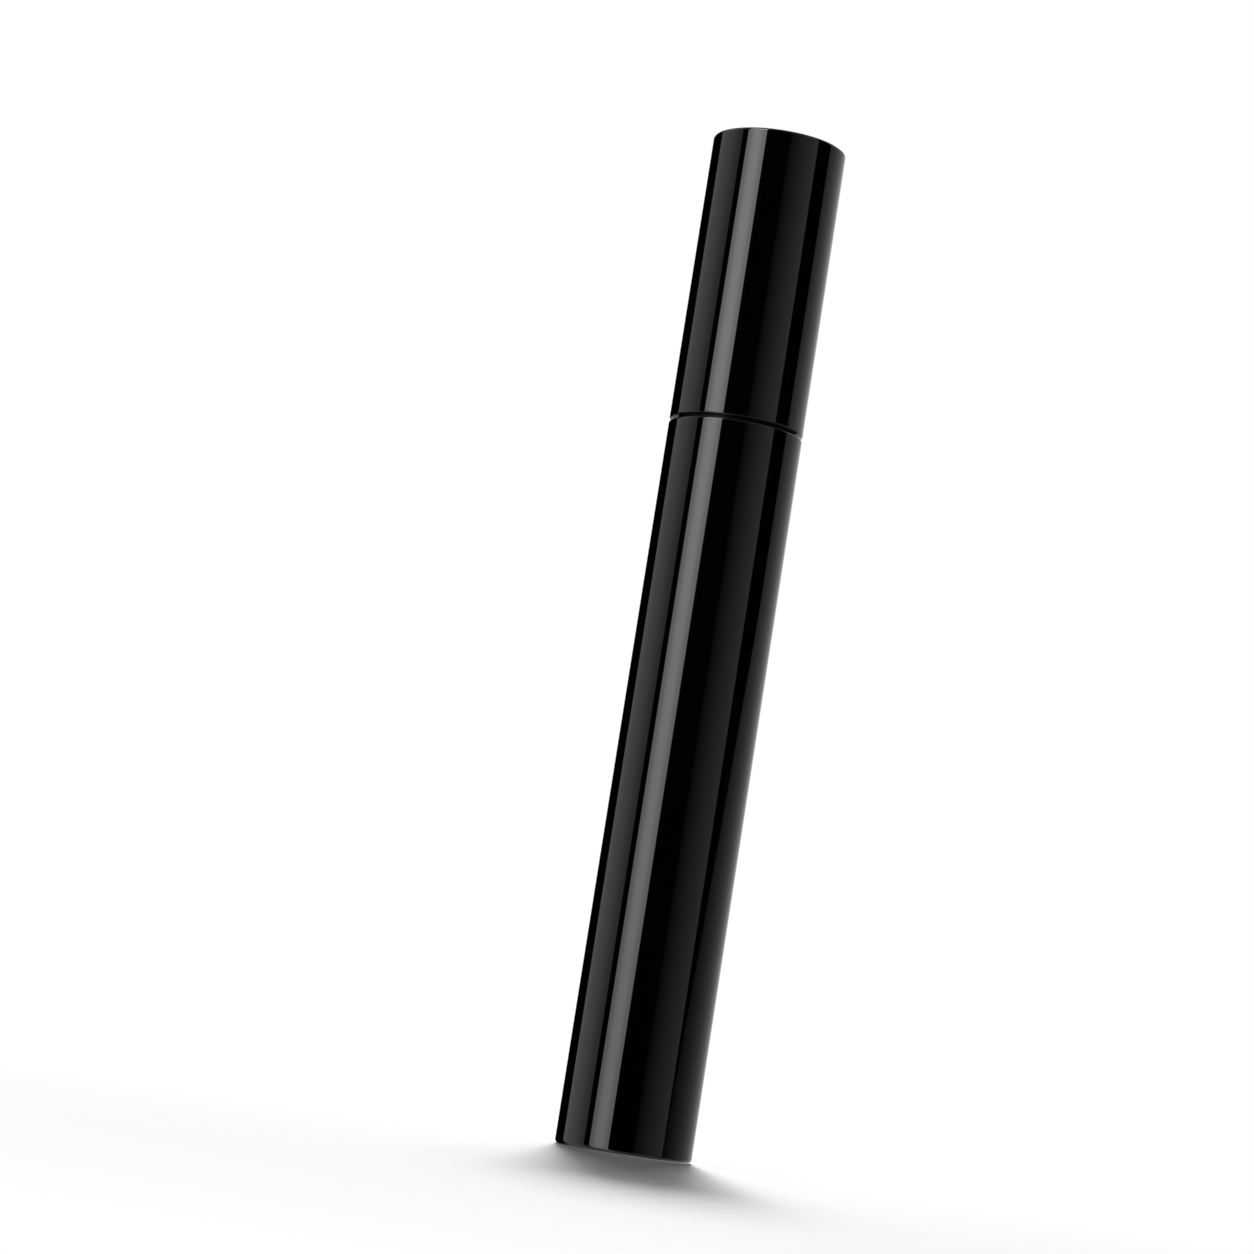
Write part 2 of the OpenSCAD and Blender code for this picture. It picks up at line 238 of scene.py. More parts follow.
def relief(height: Value, strength: float, depth_mm: float) -> dict[str, Any]:
    """The inputs of a Bump node.

    Args:
        height: the pattern that it raises.
        strength: how much of it shows.
        depth_mm: how far it rises, in millimetres.

    Returns:
        The inputs by name.
    """
    return {"Height": height, "Strength": strength, "Distance": depth_mm * MM}


# The share of the light tone, the roughness and the inputs of the Bump node.
Pattern = tuple[Value, Value, dict[str, Any]]


@dataclass(frozen=True)
class Finish:
    """What every finish shares: its name, two close tones and how it scatters light."""

    name: str
    dark: tuple[float, float, float]
    light: tuple[float, float, float]
    roughness: float
    metallic: float = 0.0
    ior: float = 1.5

    def material(self) -> bpy.types.Material:
        """Builds the material.

        Returns:
            The finished node material.
        """
        made = bpy.data.materials.new(self.name)
        made.use_nodes = True
        made.node_tree.nodes.clear()
        sketch = NodeSketch(made.node_tree)
        place = sketch.value("ShaderNodeTexCoord", output="Object")
        tone, rough, bumps = self.pattern(sketch, place)
        colour = sketch.value(
            "ShaderNodeMix",
            {"data_type": "RGBA"},
            {"Factor": tone, "A": (*self.dark, 1.0), "B": (*self.light, 1.0)},
            output=COLOUR_RESULT,
        )
        bump = sketch.value("ShaderNodeBump", None, bumps)
        shader = sketch.node(
            "ShaderNodeBsdfPrincipled",
            None,
            {
                "Base Color": colour,
                "Roughness": rough,
                "Metallic": self.metallic,
                "IOR": self.ior,
                "Normal": bump,
                **self.extras(),
            },
        )
        sketch.node("ShaderNodeOutputMaterial", None, {"Surface": shader.outputs[0]})
        return made

    def extras(self) -> dict[str, Any]:
        """Constants for the shader's other sockets."""
        return {}

    @staticmethod
    def noise(sketch: NodeSketch, place: Value, size: float, detail: float = 2.0) -> Value:
        """Cloudy noise.

        Args:
            sketch: the tree to write in.
            place: the coordinates that it reads.
            size: the size of its clouds, in millimetres.
            detail: how many finer layers it has.

        Returns:
            Values around 0.5.
        """
        inputs = {"Vector": place, "Scale": 1 / (size * MM), "Detail": detail}
        return sketch.value("ShaderNodeTexNoise", None, inputs)

    def pattern(self, sketch: NodeSketch, place: Value) -> Pattern:
        """How the finish varies over the surface.

        Args:
            sketch: the tree to write in.
            place: Object coordinates, in metres.

        Returns:
            The tone, the roughness and the relief.
        """
        raise NotImplementedError


@dataclass(frozen=True)
class PianoGloss(Finish):
    """Polished black moulding: near mirror, with the faint waviness of a moulded wall."""

    haze_mm: float = 14.0
    haze_from: float = 0.45
    haze_to: float = 0.8
    haze_roughness: float = 0.03
    wave_mm: float = 5.0
    wave_depth_mm: float = 0.0012

    def pattern(self, sketch: NodeSketch, place: Value) -> Pattern:
        """Faint handling haze over a wavy, polished wall."""
        haze = self.noise(sketch, place, self.haze_mm, 3.0)
        wave = self.noise(sketch, place, self.wave_mm, 1.0)
        hazy = haze.step(self.haze_from, self.haze_to)
        rough = self.roughness + self.haze_roughness * hazy
        return haze, rough, relief(wave, 1.0, self.wave_depth_mm)


@dataclass(frozen=True)
class SatinMould(Finish):
    """Spark-eroded moulding: a fine even grain that breaks up the reflection."""

    grain_mm: float = 0.09
    grain_strength: float = 0.6
    grain_depth_mm: float = 0.004
    patch_mm: float = 3.0
    patch_roughness: float = 0.12

    def pattern(self, sketch: NodeSketch, place: Value) -> Pattern:
        """Fine grain, with slow patches of more and less sheen."""
        grain = self.noise(sketch, place, self.grain_mm)
        patch = self.noise(sketch, place, self.patch_mm)
        rough = self.roughness + self.patch_roughness * (patch - 0.5)
        return patch, rough, relief(grain, self.grain_strength, self.grain_depth_mm)


@dataclass(frozen=True)
class NaturalMould(Finish):
    """Unpigmented moulding: milky, waxy, with slow flow marks and a parting line."""

    scatter_share: float = 0.2
    scatter_mm: float = 0.6
    flow_mm: float = 2.4
    flow_stretch: float = 0.3
    flow_from: float = 0.25
    flow_to: float = 0.75
    flow_roughness: float = 0.16
    skin_mm: float = 0.25
    skin_share: float = 0.15
    parting_mm: float = 0.06
    relief_strength: float = 0.6
    relief_depth_mm: float = 0.02

    def extras(self) -> dict[str, Any]:
        """A little light goes into the wall and out again, the same for every colour."""
        return {
            "Subsurface Weight": self.scatter_share,
            "Subsurface Radius": (1.0, 1.0, 1.0),
            "Subsurface Scale": self.scatter_mm * MM,
        }

    def pattern(self, sketch: NodeSketch, place: Value) -> Pattern:
        """Flow marks that run along the moulding, and a fine ridge on both sides of it."""
        stretch = (1.0, 1.0, self.flow_stretch)
        drawn = sketch.value("ShaderNodeMapping", None, {"Vector": place, "Scale": stretch})
        flow = self.noise(sketch, drawn, self.flow_mm, 4.0)
        skin = self.noise(sketch, place, self.skin_mm)
        across = sketch.value("ShaderNodeSeparateXYZ", None, {"Vector": place}, output="Y")
        ridge = 1.0 - across.absolute().step(self.parting_mm * MM / 3, self.parting_mm * MM)
        rough = self.roughness + self.flow_roughness * (flow - 0.5)
        raised = relief(skin * self.skin_share + ridge, self.relief_strength, self.relief_depth_mm)
        return flow.step(self.flow_from, self.flow_to), rough, raised


@dataclass(frozen=True)
class FoamRubber(Finish):
    """Closed-cell foam: small round cells under a dull skin."""

    cell_mm: float = 0.16
    cell_from: float = 0.05
    cell_to: float = 0.6
    cell_roughness: float = 0.08
    cell_strength: float = 0.7
    cell_depth_mm: float = 0.03

    def pattern(self, sketch: NodeSketch, place: Value) -> Pattern:
        """Cells as dimples, with painted shade that darkens the tone inside each one."""
        inputs = {"Vector": place, "Scale": 1 / (self.cell_mm * MM)}
        cells = sketch.value("ShaderNodeTexVoronoi", None, inputs)
        cell_depth_and_shade = cells.step(self.cell_from, self.cell_to)
        rough = self.roughness + self.cell_roughness * cell_depth_and_shade
        # The dimples' mask is also the tone: painted shade, darker inside each cell.
        return cell_depth_and_shade, rough, relief(cell_depth_and_shade, self.cell_strength, self.cell_depth_mm)


@dataclass(frozen=True)
class TurnedMetal(Finish):
    """Steel off a lathe: fine tool rings, close together, that run round the axis."""

    ring_mm: float = 0.12
    ring_strength: float = 0.5
    ring_depth_mm: float = 0.006
    ring_share: float = 0.6
    ring_roughness: float = 0.14
    feed_mm: float = 1.6
    feed_sway: float = 3.0

    def pattern(self, sketch: NodeSketch, place: Value) -> Pattern:
        """Rings by distance from the axis and by height, with a little uneven feed."""
        parts = sketch.node("ShaderNodeSeparateXYZ", None, {"Vector": place})
        x, y, z = (Value(sketch, out) for out in parts.outputs)
        radius = (x * x + y * y) ** 0.5
        feed = self.noise(sketch, place, self.feed_mm)
        turns = (radius + z) / (self.ring_mm * MM)
        rings = (turns * math.tau + self.feed_sway * feed).sine() * 0.5 + 0.5
        rough = self.roughness + self.ring_roughness * rings * feed
        tone = rings * self.ring_share + feed * (1.0 - self.ring_share)
        return tone, rough, relief(rings, self.ring_strength, self.ring_depth_mm)


@dataclass(frozen=True)
class FibreSheen(Finish):
    """Drawn fibre: dark, softly shining, each bristle a little different."""

    tone_mm: float = 0.35
    tone_from: float = 0.35
    tone_to: float = 0.65
    tone_roughness: float = 0.2
    mark_mm: float = 0.04
    mark_strength: float = 0.4
    mark_depth_mm: float = 0.002

    def pattern(self, sketch: NodeSketch, place: Value) -> Pattern:
        """Tone that changes from bristle to bristle, with fine draw marks."""
        tone = self.noise(sketch, place, self.tone_mm, 1.0)
        marks = self.noise(sketch, place, self.mark_mm)
        rough = self.roughness + self.tone_roughness * (tone - 0.5)
        raised = relief(marks, self.mark_strength, self.mark_depth_mm)
        return tone.step(self.tone_from, self.tone_to), rough, raised


class Finishes(Enum):
    """The finishes of this tube."""

    GLOSS_SHELL = PianoGloss(
        "piano_gloss", (0.0008, 0.0008, 0.0009), (0.0014, 0.0014, 0.0015), 0.03
    )
    SATIN_BLACK = SatinMould(
        "satin_mould", (0.003, 0.003, 0.0034), (0.006, 0.006, 0.0065), 0.38, ior=1.32
    )
    NATURAL_PLASTIC = NaturalMould("natural_mould", (0.60, 0.60, 0.57), (0.72, 0.72, 0.69), 0.42)
    WIPER_ELASTOMER = SatinMould(
        "wiper_elastomer", (0.016, 0.016, 0.017), (0.03, 0.03, 0.031), 0.5
    )
    WASHER_FOAM = FoamRubber("washer_foam", (0.025, 0.025, 0.026), (0.055, 0.055, 0.057), 0.75)
    WEIGHT_STEEL = TurnedMetal("weight_steel", (0.42, 0.42, 0.43), (0.6, 0.6, 0.61), 0.24, 1.0)
    WIRE_STEEL = TurnedMetal(
        "wire_steel", (0.46, 0.46, 0.47), (0.66, 0.66, 0.67), 0.22, 1.0, ring_mm=0.05
    )
    BRISTLE_FIBRE = FibreSheen(
        "bristle_fibre", (0.006, 0.006, 0.0068), (0.02, 0.02, 0.0215), 0.38
    )

    @property
    def slot(self) -> str:
        """This finish's name in lower case."""
        return self.name.lower()


# ---------------------------------------------------------------- turned sections


@dataclass(frozen=True)
class Corner:
    """A corner of a turned half-section, in millimetres."""

    r: float
    z: float
    round: float = 0.0


def rounded_section(corners: Sequence[Corner], closed: bool) -> list[tuple[float, float]]:
    """Rounds the corners of a half-section.

    A ring is added just past each end of an arc, so that smooth shading stays true on the
    long walls beside it.

    Args:
        corners: the section's corners in order.
        closed: whether the last corner joins the first.

    Returns:
        Points (radius, height) in millimetres.
    """
    arc_steps = 7
    guard = 0.25
    points: list[tuple[float, float]] = []
    count = len(corners)
    for index, corner in enumerate(corners):
        at = Vector((corner.r, corner.z))
        on_end = not closed and index in (0, count - 1)
        if corner.round <= 0.0 or on_end:
            points.append((at.x, at.y))
            continue
        before = corners[index - 1]
        after = corners[(index + 1) % count]
        towards_before = (Vector((before.r, before.z)) - at).normalized()
        towards_after = (Vector((after.r, after.z)) - at).normalized()
        half = towards_before.angle(towards_after) / 2
        reach = corner.round / math.tan(half)
        inward = (towards_before + towards_after).normalized()
        centre = at + inward * (corner.round / math.sin(half))
        first = at + towards_before * reach
        last = at + towards_after * reach
        points.append(tuple(first + towards_before * (corner.round * guard)))
        turn = math.pi - 2 * half
        sign = 1.0 if (first - centre).cross(last - centre) > 0 else -1.0
        for step in range(arc_steps + 1):
            angle = sign * turn * step / arc_steps
            points.append(tuple(centre + Matrix.Rotation(angle, 2) @ (first - centre)))
        points.append(tuple(last + towards_after * (corner.round * guard)))
    return points


class GeometryTree(NodeSketch):
    """A Geometry Nodes tree with named inputs, baked into plain meshes."""

    def __init__(self, name: str, sizes: dict[str, tuple[str, Any]]) -> None:
        """Starts a tree.

        Args:
            name: the tree's name.
            sizes: each named input's socket type and default.
        """
        super().__init__(bpy.data.node_groups.new(name, "GeometryNodeTree"))
        face = self.tree.interface
        face.new_socket("Geometry", in_out="INPUT", socket_type="NodeSocketGeometry")
        face.new_socket("Geometry", in_out="OUTPUT", socket_type="NodeSocketGeometry")
        self.identifiers: dict[str, str] = {}
        for key, (kind, default) in {**sizes, "Material": ("Material", None)}.items():
            socket = face.new_socket(key, in_out="INPUT", socket_type="NodeSocket" + kind)
            self.identifiers[key] = socket.identifier
            if default is not None:
                socket.default_value = default
        self.given = self.tree.nodes.new("NodeGroupInput")

    def size(self, name: str) -> Value:
        """A named input as a Value."""
        return Value(self, self.given.outputs[name])

    def close(self, result: Value) -> None:
        """Ends the tree in Realize Instances and Set Material.

        Args:
            result: the geometry that the tree makes.
        """
        smooth = self.value("GeometryNodeSetShadeSmooth", None, {"Geometry": result})
        real = self.value("GeometryNodeRealizeInstances", None, {"Geometry": smooth})
        dressed = self.value(
            "GeometryNodeSetMaterial", None, {"Geometry": real, "Material": self.size("Material")}
        )
        out = self.tree.nodes.new("NodeGroupOutput")
        self.tree.links.new(dressed.socket, out.inputs[0])

    def bake(self, base: bpy.types.Mesh, material: bpy.types.Material,
             **sizes: Any) -> bpy.types.Mesh:
        """Runs the tree on a mesh.

        Args:
            base: the geometry that goes in.
            material: the material that it ends with.
            sizes: values for the named inputs, with _ for a space.

        Returns:
            The plain mesh that comes out.
        """
        holder = bpy.data.objects.new("holder", base)
        bpy.context.scene.collection.objects.link(holder)
        modifier = holder.modifiers.new("tree", "NODES")
        modifier.node_group = self.tree
        modifier[self.identifiers["Material"]] = material
        for key, given in sizes.items():
            modifier[self.identifiers[key.replace("_", " ")]] = given
        evaluated = holder.evaluated_get(bpy.context.evaluated_depsgraph_get())
        mesh = bpy.data.meshes.new_from_object(evaluated)
        bpy.data.objects.remove(holder)
        bpy.data.meshes.remove(base)
        return mesh


class Workshop:
    """The geometry trees that make the tube's pieces, built once."""

    sharp_deg = 32.0
    path_r = 10.0 * MM
    seam_weld = 1e-7
    fine_weld = 1e-8
    thread_ends = 0.02
    tip_share = 0.45
    root_share = 0.2
    shortest_cut = 0.955
    fibre_taper = 0.6
    wire_flats = 14

    def __init__(self) -> None:
        """Builds every tree."""
        self.turning = self._turning_tree()
        self.threading = self._threading_tree()
        self.twisting = self._twisting_tree()
        self.ribbing = self._ribbing_tree()
        self.bristling = self._bristling_tree()
        self.materials = {finish: finish.value.material() for finish in Finishes}

    def _turning_tree(self) -> GeometryTree:
        """Turns a half-section, drawn as mesh edges, about the Z axis.

        Returns:
            The tree.
        """
        tree = GeometryTree("turned_section", {"Segments": ("Int", 160)})
        path = tree.value(
            "GeometryNodeCurvePrimitiveCircle",
            None,
            {"Resolution": tree.size("Segments"), "Radius": self.path_r},
        )
        section = tree.value("GeometryNodeMeshToCurve", None, {"Mesh": tree.size("Geometry")})
        body = tree.value(
            "GeometryNodeCurveToMesh", None, {"Curve": path, "Profile Curve": section}
        )
        closed = tree.value(
            "GeometryNodeMergeByDistance", None, {"Geometry": body, "Distance": self.seam_weld}
        )
        tree.close(closed)
        return tree

    @staticmethod
    def _wound_sizes(turns: float, pitch: float, radius: float,
                     per_turn: int) -> dict[str, tuple[str, Any]]:
        """The named inputs of a tree that winds a body along a helix.

        Args:
            turns: how often it goes round.
            pitch: how far it climbs in a turn, in metres.
            radius: the helix's radius, in metres.
            per_turn: its steps in a turn.

        Returns:
            Each input's socket type and default.
        """
        return {
            "Turns": ("Float", turns),
            "Pitch": ("Float", pitch),
            "Radius": ("Float", radius),
            "Start Z": ("Float", 0.0),
            "Start Angle": ("Float", 0.0),
            "Per Turn": ("Int", per_turn),
        }

    @staticmethod
    def _helix(tree: GeometryTree) -> Value:
        """A helix about the axis, from the tree's Turns, Pitch, Radius and Per Turn.

        Args:
            tree: the tree to write in.

        Returns:
            The helix as a curve that stays upright.
        """
        spiral = tree.value(
            "GeometryNodeCurveSpiral",
            None,
            {
                "Resolution": tree.size("Per Turn"),
                "Rotations": tree.size("Turns"),
                "Start Radius": tree.size("Radius"),
                "End Radius": tree.size("Radius"),
                "Height": tree.size("Turns") * tree.size("Pitch"),
            },
        )
        return tree.value("GeometryNodeSetCurveNormal", {"mode": "Z_UP"}, {"Curve": spiral})

    @staticmethod
    def _placed(tree: GeometryTree, body: Value) -> Value:
        """Turns a wound body by Start Angle and lifts it to Start Z.

        Args:
            tree: the tree to write in.
            body: the body.

        Returns:
            The body in its place.
        """
        turn = tree.value("ShaderNodeCombineXYZ", None, {"Z": tree.size("Start Angle")})
        lift = tree.value("ShaderNodeCombineXYZ", None, {"Z": tree.size("Start Z")})
        return tree.value(
            "GeometryNodeTransform", None, {"Geometry": body, "Translation": lift, "Rotation": turn}
        )

    def _threading_tree(self) -> GeometryTree:
        """Winds a thread's four-sided ridge along a helix, thinned out at both ends.

        Returns:
            The tree.
        """
        sizes = {
            **self._wound_sizes(2.6, 0.002, 0.0055, 72),
            "Inner Width": ("Float", 0.001),
            "Outer Width": ("Float", 0.0005),
            "Depth": ("Float", 0.0005),
            "Run Out": ("Float", 0.08),
        }
        tree = GeometryTree("wound_thread", sizes)
        ridge = tree.value(
            "GeometryNodeCurvePrimitiveQuadrilateral",
            {"mode": "TRAPEZOID"},
            {
                "Bottom Width": tree.size("Inner Width"),
                "Top Width": tree.size("Outer Width"),
                "Height": tree.size("Depth"),
                "Offset": 0.0,
            },
        )
        upright = tree.value(
            "GeometryNodeTransform", None, {"Geometry": ridge, "Rotation": (0, 0, math.pi / 2)}
        )
        along = tree.value("GeometryNodeSplineParameter", output="Factor")
        fade = (along / tree.size("Run Out")).minimum((1.0 - along) / tree.size("Run Out"))
        body = tree.value(
            "GeometryNodeCurveToMesh",
            None,
            {
                "Curve": self._helix(tree),
                "Profile Curve": upright,
                "Scale": fade.minimum(1.0).maximum(self.thread_ends),
                "Fill Caps": True,
            },
        )
        tree.close(self._placed(tree, body))
        return tree

    def _twisting_tree(self) -> GeometryTree:
        """Winds a round wire along a helix.

        Returns:
            The tree.
        """
        sizes = {
            **self._wound_sizes(12.0, 0.0028, 0.00045, 28),
            "Wire Radius": ("Float", 0.00035),
        }
        tree = GeometryTree("twisted_strand", sizes)
        wire = tree.value(
            "GeometryNodeCurvePrimitiveCircle",
            None,
            {"Resolution": self.wire_flats, "Radius": tree.size("Wire Radius")},
        )
        body = tree.value(
            "GeometryNodeCurveToMesh",
            None,
            {"Curve": self._helix(tree), "Profile Curve": wire, "Fill Caps": True},
        )
        tree.close(self._placed(tree, body))
        return tree

    def _ribbing_tree(self) -> GeometryTree:
        """Sets straight ribs round the axis.

        Returns:
            The tree.
        """
        sizes = {
            "Count": ("Int", 8),
            "Inner Radius": ("Float", 0.001),
            "Outer Radius": ("Float", 0.002),
            "Thickness": ("Float", 0.0008),
            "Low Z": ("Float", 0.0),
            "High Z": ("Float", 0.001),
            "Start Angle": ("Float", 0.0),
        }
        tree = GeometryTree("ribs_round_axis", sizes)
        inner, outer = tree.size("Inner Radius"), tree.size("Outer Radius")
        low, high = tree.size("Low Z"), tree.size("High Z")
        box = tree.value(
            "ShaderNodeCombineXYZ",
            None,
            {"X": outer - inner, "Y": tree.size("Thickness"), "Z": high - low},
        )
        shift = tree.value(
            "ShaderNodeCombineXYZ", None, {"X": (outer + inner) / 2.0, "Z": (high + low) / 2.0}
        )
        rib = tree.value("GeometryNodeMeshCube", None, {"Size": box})
        placed = tree.value("GeometryNodeTransform", None, {"Geometry": rib, "Translation": shift})
        places = tree.value("GeometryNodePoints", None, {"Count": tree.size("Count")})
        number = tree.value("GeometryNodeInputIndex")
        angle = number * math.tau / tree.size("Count") + tree.size("Start Angle")
        turn = tree.value("ShaderNodeCombineXYZ", None, {"Z": angle})
        ring = tree.value(
            "GeometryNodeInstanceOnPoints",
            None,
            {"Points": places, "Instance": placed, "Rotation": turn},
        )
        tree.close(ring)
        return tree

    @staticmethod
    def _random(tree: GeometryTree, low: float, high: float, offset: int) -> Value:
        """A random number for each bristle.

        Args:
            tree: the tree to write in.
            low: the smallest number.
            high: the largest number.
            offset: what is added to the tree's Seed.

        Returns:
            The number.
        """
        seed = tree.size("Seed")
        return tree.value(
            "FunctionNodeRandomValue",
            {"data_type": "FLOAT"},
            {"Min": low, "Max": high, "Seed": seed + float(offset) if offset else seed},
            output=1,
        )

    def _bristling_tree(self) -> GeometryTree:
        """Sets bristles along a twisted wire and trims them to the brush's outline.

        Returns:
            The tree.
        """
        sizes = {
            "Count": ("Int", 2400),
            "Low Z": ("Float", 0.011),
            "Length": ("Float", 0.026),
            "Twist Pitch": ("Float", 0.0028),
            "Tip Z": ("Float", 0.010),
            "Tip Radius": ("Float", 0.0017),
            "Full Radius": ("Float", 0.0034),
            "Root Radius": ("Float", 0.0027),
            "Thickness": ("Float", 0.00005),
            "Splay": ("Float", 0.14),
            "Seed": ("Int", 7),
        }
        tree = GeometryTree("bristles_on_wire", sizes)
        count = tree.size("Count")
        number = tree.value("GeometryNodeInputIndex")
        side = (number * 0.5).fraction() * 2.0
        share = (number - side) / (count - 2.0)
        height = share * tree.size("Length")
        z = tree.size("Low Z") + height
        swell = ((share / self.tip_share).minimum(1.0) * (math.pi / 2)).sine()
        root = 1.0 - ((1.0 - share) / self.root_share).minimum(1.0)
        full, thin = tree.size("Full Radius"), tree.size("Tip Radius")
        trimmed = thin + (full - thin) * swell - (full - tree.size("Root Radius")) * root
        uneven = self._random(tree, self.shortest_cut, 1.0, 0)
        lean = self._random(tree, -1.0, 1.0, 1)
        sway = self._random(tree, -1.0, 1.0, 2)
        angle = (z - tree.size("Tip Z")) / tree.size("Twist Pitch") * math.tau
        angle = angle + side * math.pi + sway * tree.size("Splay") * 0.5
        places = tree.value(
            "GeometryNodePoints",
            None,
            {"Count": count, "Position": tree.value("ShaderNodeCombineXYZ", None, {"Z": z})},
        )
        fibre = tree.value(
            "GeometryNodeMeshCone",
            {"fill_type": "NGON"},
            {
                "Vertices": 4,
                "Side Segments": 2,
                "Radius Top": tree.size("Thickness") * self.fibre_taper,
                "Radius Bottom": tree.size("Thickness"),
                "Depth": 1.0,
            },
        )
        tilt = math.pi / 2 - lean * tree.size("Splay")
        turn = tree.value("ShaderNodeCombineXYZ", None, {"Y": tilt, "Z": angle})
        length = tree.value(
            "ShaderNodeCombineXYZ", None, {"X": 1.0, "Y": 1.0, "Z": trimmed * uneven}
        )
        grown = tree.value(
            "GeometryNodeInstanceOnPoints",
            None,
            {"Points": places, "Instance": fibre, "Rotation": turn, "Scale": length},
        )
        tree.close(grown)
        return tree

    # -- meshes

    def turned(self, corners: Sequence[Corner], finish: Finishes, closed: bool = False,
               segments: int = 160) -> bpy.types.Mesh:
        """Turns a half-section into a solid.

        Args:
            corners: the section, from the axis to the axis, or all the way round if closed.
            finish: what it is dressed in.
            closed: whether the section is a closed ring off the axis.
            segments: flats round the circle.

        Returns:
            A closed mesh with its faces outward.
        """
        points = rounded_section(corners, closed)
        base = bpy.data.meshes.new("section")
        # The tree sets a section's X out from a circle of path_r and its Y downwards.
        spots = [(r * MM - self.path_r, -z * MM, 0.0) for r, z in points]
        edges = [(i, i + 1) for i in range(len(spots) - 1)]
        if closed:
            edges.append((len(spots) - 1, 0))
        base.from_pydata(spots, edges, [])
        mesh = self.turning.bake(base, self.materials[finish], Segments=segments)
        return self.outward(mesh)

    def outward(self, mesh: bpy.types.Mesh) -> bpy.types.Mesh:
        """Welds a mesh, turns its faces outward and marks its sharp edges.

        Args:
            mesh: a mesh whose shells don't contain each other.

        Returns:
            The same mesh.
        """
        made = bmesh.new()
        made.from_mesh(mesh)
        bmesh.ops.remove_doubles(made, verts=made.verts, dist=self.fine_weld)
        bmesh.ops.recalc_face_normals(made, faces=made.faces)
        if made.calc_volume(signed=True) < 0:
            bmesh.ops.reverse_faces(made, faces=made.faces)
        made.to_mesh(mesh)
        made.free()
        mesh.shade_smooth()
        mesh.set_sharp_from_angle(angle=math.radians(self.sharp_deg))
        return mesh

    def thread(self, stack: Stack, radius: float, turns: float, widths: tuple[float, float],
               start_angle: float = 0.0) -> bpy.types.Mesh:
        """Winds a screw thread outside the neck or inside the cap.

        Args:
            stack: the levels and fits that place it.
            radius: the helix's radius, in millimetres.
            turns: how often it goes round.
            widths: the ridge's width at its inner and outer edge, in millimetres.
            start_angle: where it starts, in radians.

        Returns:
            A closed mesh with its faces outward.
        """
        fit = stack.fits
        ridge = self.threading.bake(
            bpy.data.meshes.new("thread"),
            self.materials[Finishes.NATURAL_PLASTIC],
            Turns=turns,
            Pitch=fit.thread_pitch * MM,
            Radius=radius * MM,
            Start_Z=(stack.levels.neck_z - fit.thread_drop) * MM,
            Start_Angle=start_angle,
            Inner_Width=widths[0] * MM,
            Outer_Width=widths[1] * MM,
            Depth=fit.thread_depth * MM,
            Run_Out=fit.thread_run_out,
        )
        return self.outward(ridge)

    def ribs(self, count: int, radii: tuple[float, float], thickness: float,
             heights: tuple[float, float], start_angle: float = 0.0) -> bpy.types.Mesh:
        """Sets moulded ribs round the axis.

        Args:
            count: how many there are.
            radii: where they start and end, in millimetres.
            thickness: how thick they are, in millimetres.
            heights: their foot and their top, in millimetres.
            start_angle: where the first one stands, in radians.

        Returns:
            A mesh of closed ribs with their faces outward.
        """
        ring = self.ribbing.bake(
            bpy.data.meshes.new("ribs"),
            self.materials[Finishes.NATURAL_PLASTIC],
            Count=count,
            Inner_Radius=radii[0] * MM,
            Outer_Radius=radii[1] * MM,
            Thickness=thickness * MM,
            Low_Z=heights[0] * MM,
            High_Z=heights[1] * MM,
            Start_Angle=start_angle,
        )
        return self.outward(ring)

    def piece(self, name: str, parts: Sequence[bpy.types.Mesh], finish: Finishes,
              body: str, *nodes: str) -> bpy.types.Object:
        """Joins meshes into one piece and seats it on the model.

        Args:
            name: the piece's name.
            parts: its meshes.
            finish: what it is dressed in.
            body: the body that it rides on.
            nodes: the model's nodes that it stands for.

        Returns:
            The piece.
        """
        joined = bmesh.new()
        for part in parts:
            joined.from_mesh(part)
        mesh = bpy.data.meshes.new(name)
        joined.to_mesh(mesh)
        joined.free()
        mesh.materials.append(self.materials[finish])
        made = bpy.data.objects.new(name, mesh)
        bpy.context.scene.collection.objects.link(made)
        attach(made, body)
        if nodes:
            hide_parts(*nodes)
        log.info("%s: %d faces on %s", name, len(mesh.polygons), body)
        return made


# ---------------------------------------------------------------- sizes from the model


@dataclass(frozen=True)
class Levels:
    """Radii and heights that the pieces share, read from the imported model, in millimetres."""

    tube_r: float
    casing_h: float
    cap_z: float
    cap_top_z: float
    bottle_z: float
    shoulder_z: float
    neck_z: float
    flange_z: float
    ceiling_z: float
    liner_z: float
    liner_top_z: float
    rod_end_z: float
    wire_tip_z: float
    bristle_z: float
    bristle_top_z: float
    brush_r: float
    weight_top_z: float

    @classmethod
    def from_frame(cls) -> "Levels":
        """Reads the boxes of the model's nodes.

        Returns:
            The shared levels.
        """
        low = {name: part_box(name)[0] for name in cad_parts}
        high = {name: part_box(name)[1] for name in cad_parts}

        def top(name: str) -> float:
            """The height of a node's top."""
            return high[name][2] / MM

        def foot(name: str) -> float:
            """The height of a node's underside."""
            return low[name][2] / MM

        return cls(
            tube_r=high["outer_casing"][0] / MM,
            casing_h=top("outer_casing"),
            cap_z=foot("cap_shell"),
            cap_top_z=top("cap_shell"),
            bottle_z=foot("inner_bottle"),
            shoulder_z=foot("neck_collar"),
            neck_z=top("inner_bottle"),
            flange_z=top("wiper"),
            ceiling_z=top("seal_washer"),
            liner_z=foot("inner_cap"),
            liner_top_z=top("inner_cap"),
            rod_end_z=foot("wand_rod"),
            wire_tip_z=foot("brush_core"),
            bristle_z=foot("brush_bristles"),
            bristle_top_z=top("brush_bristles"),
            brush_r=high["brush_bristles"][0] / MM,
            weight_top_z=top("cap_weight"),
        )


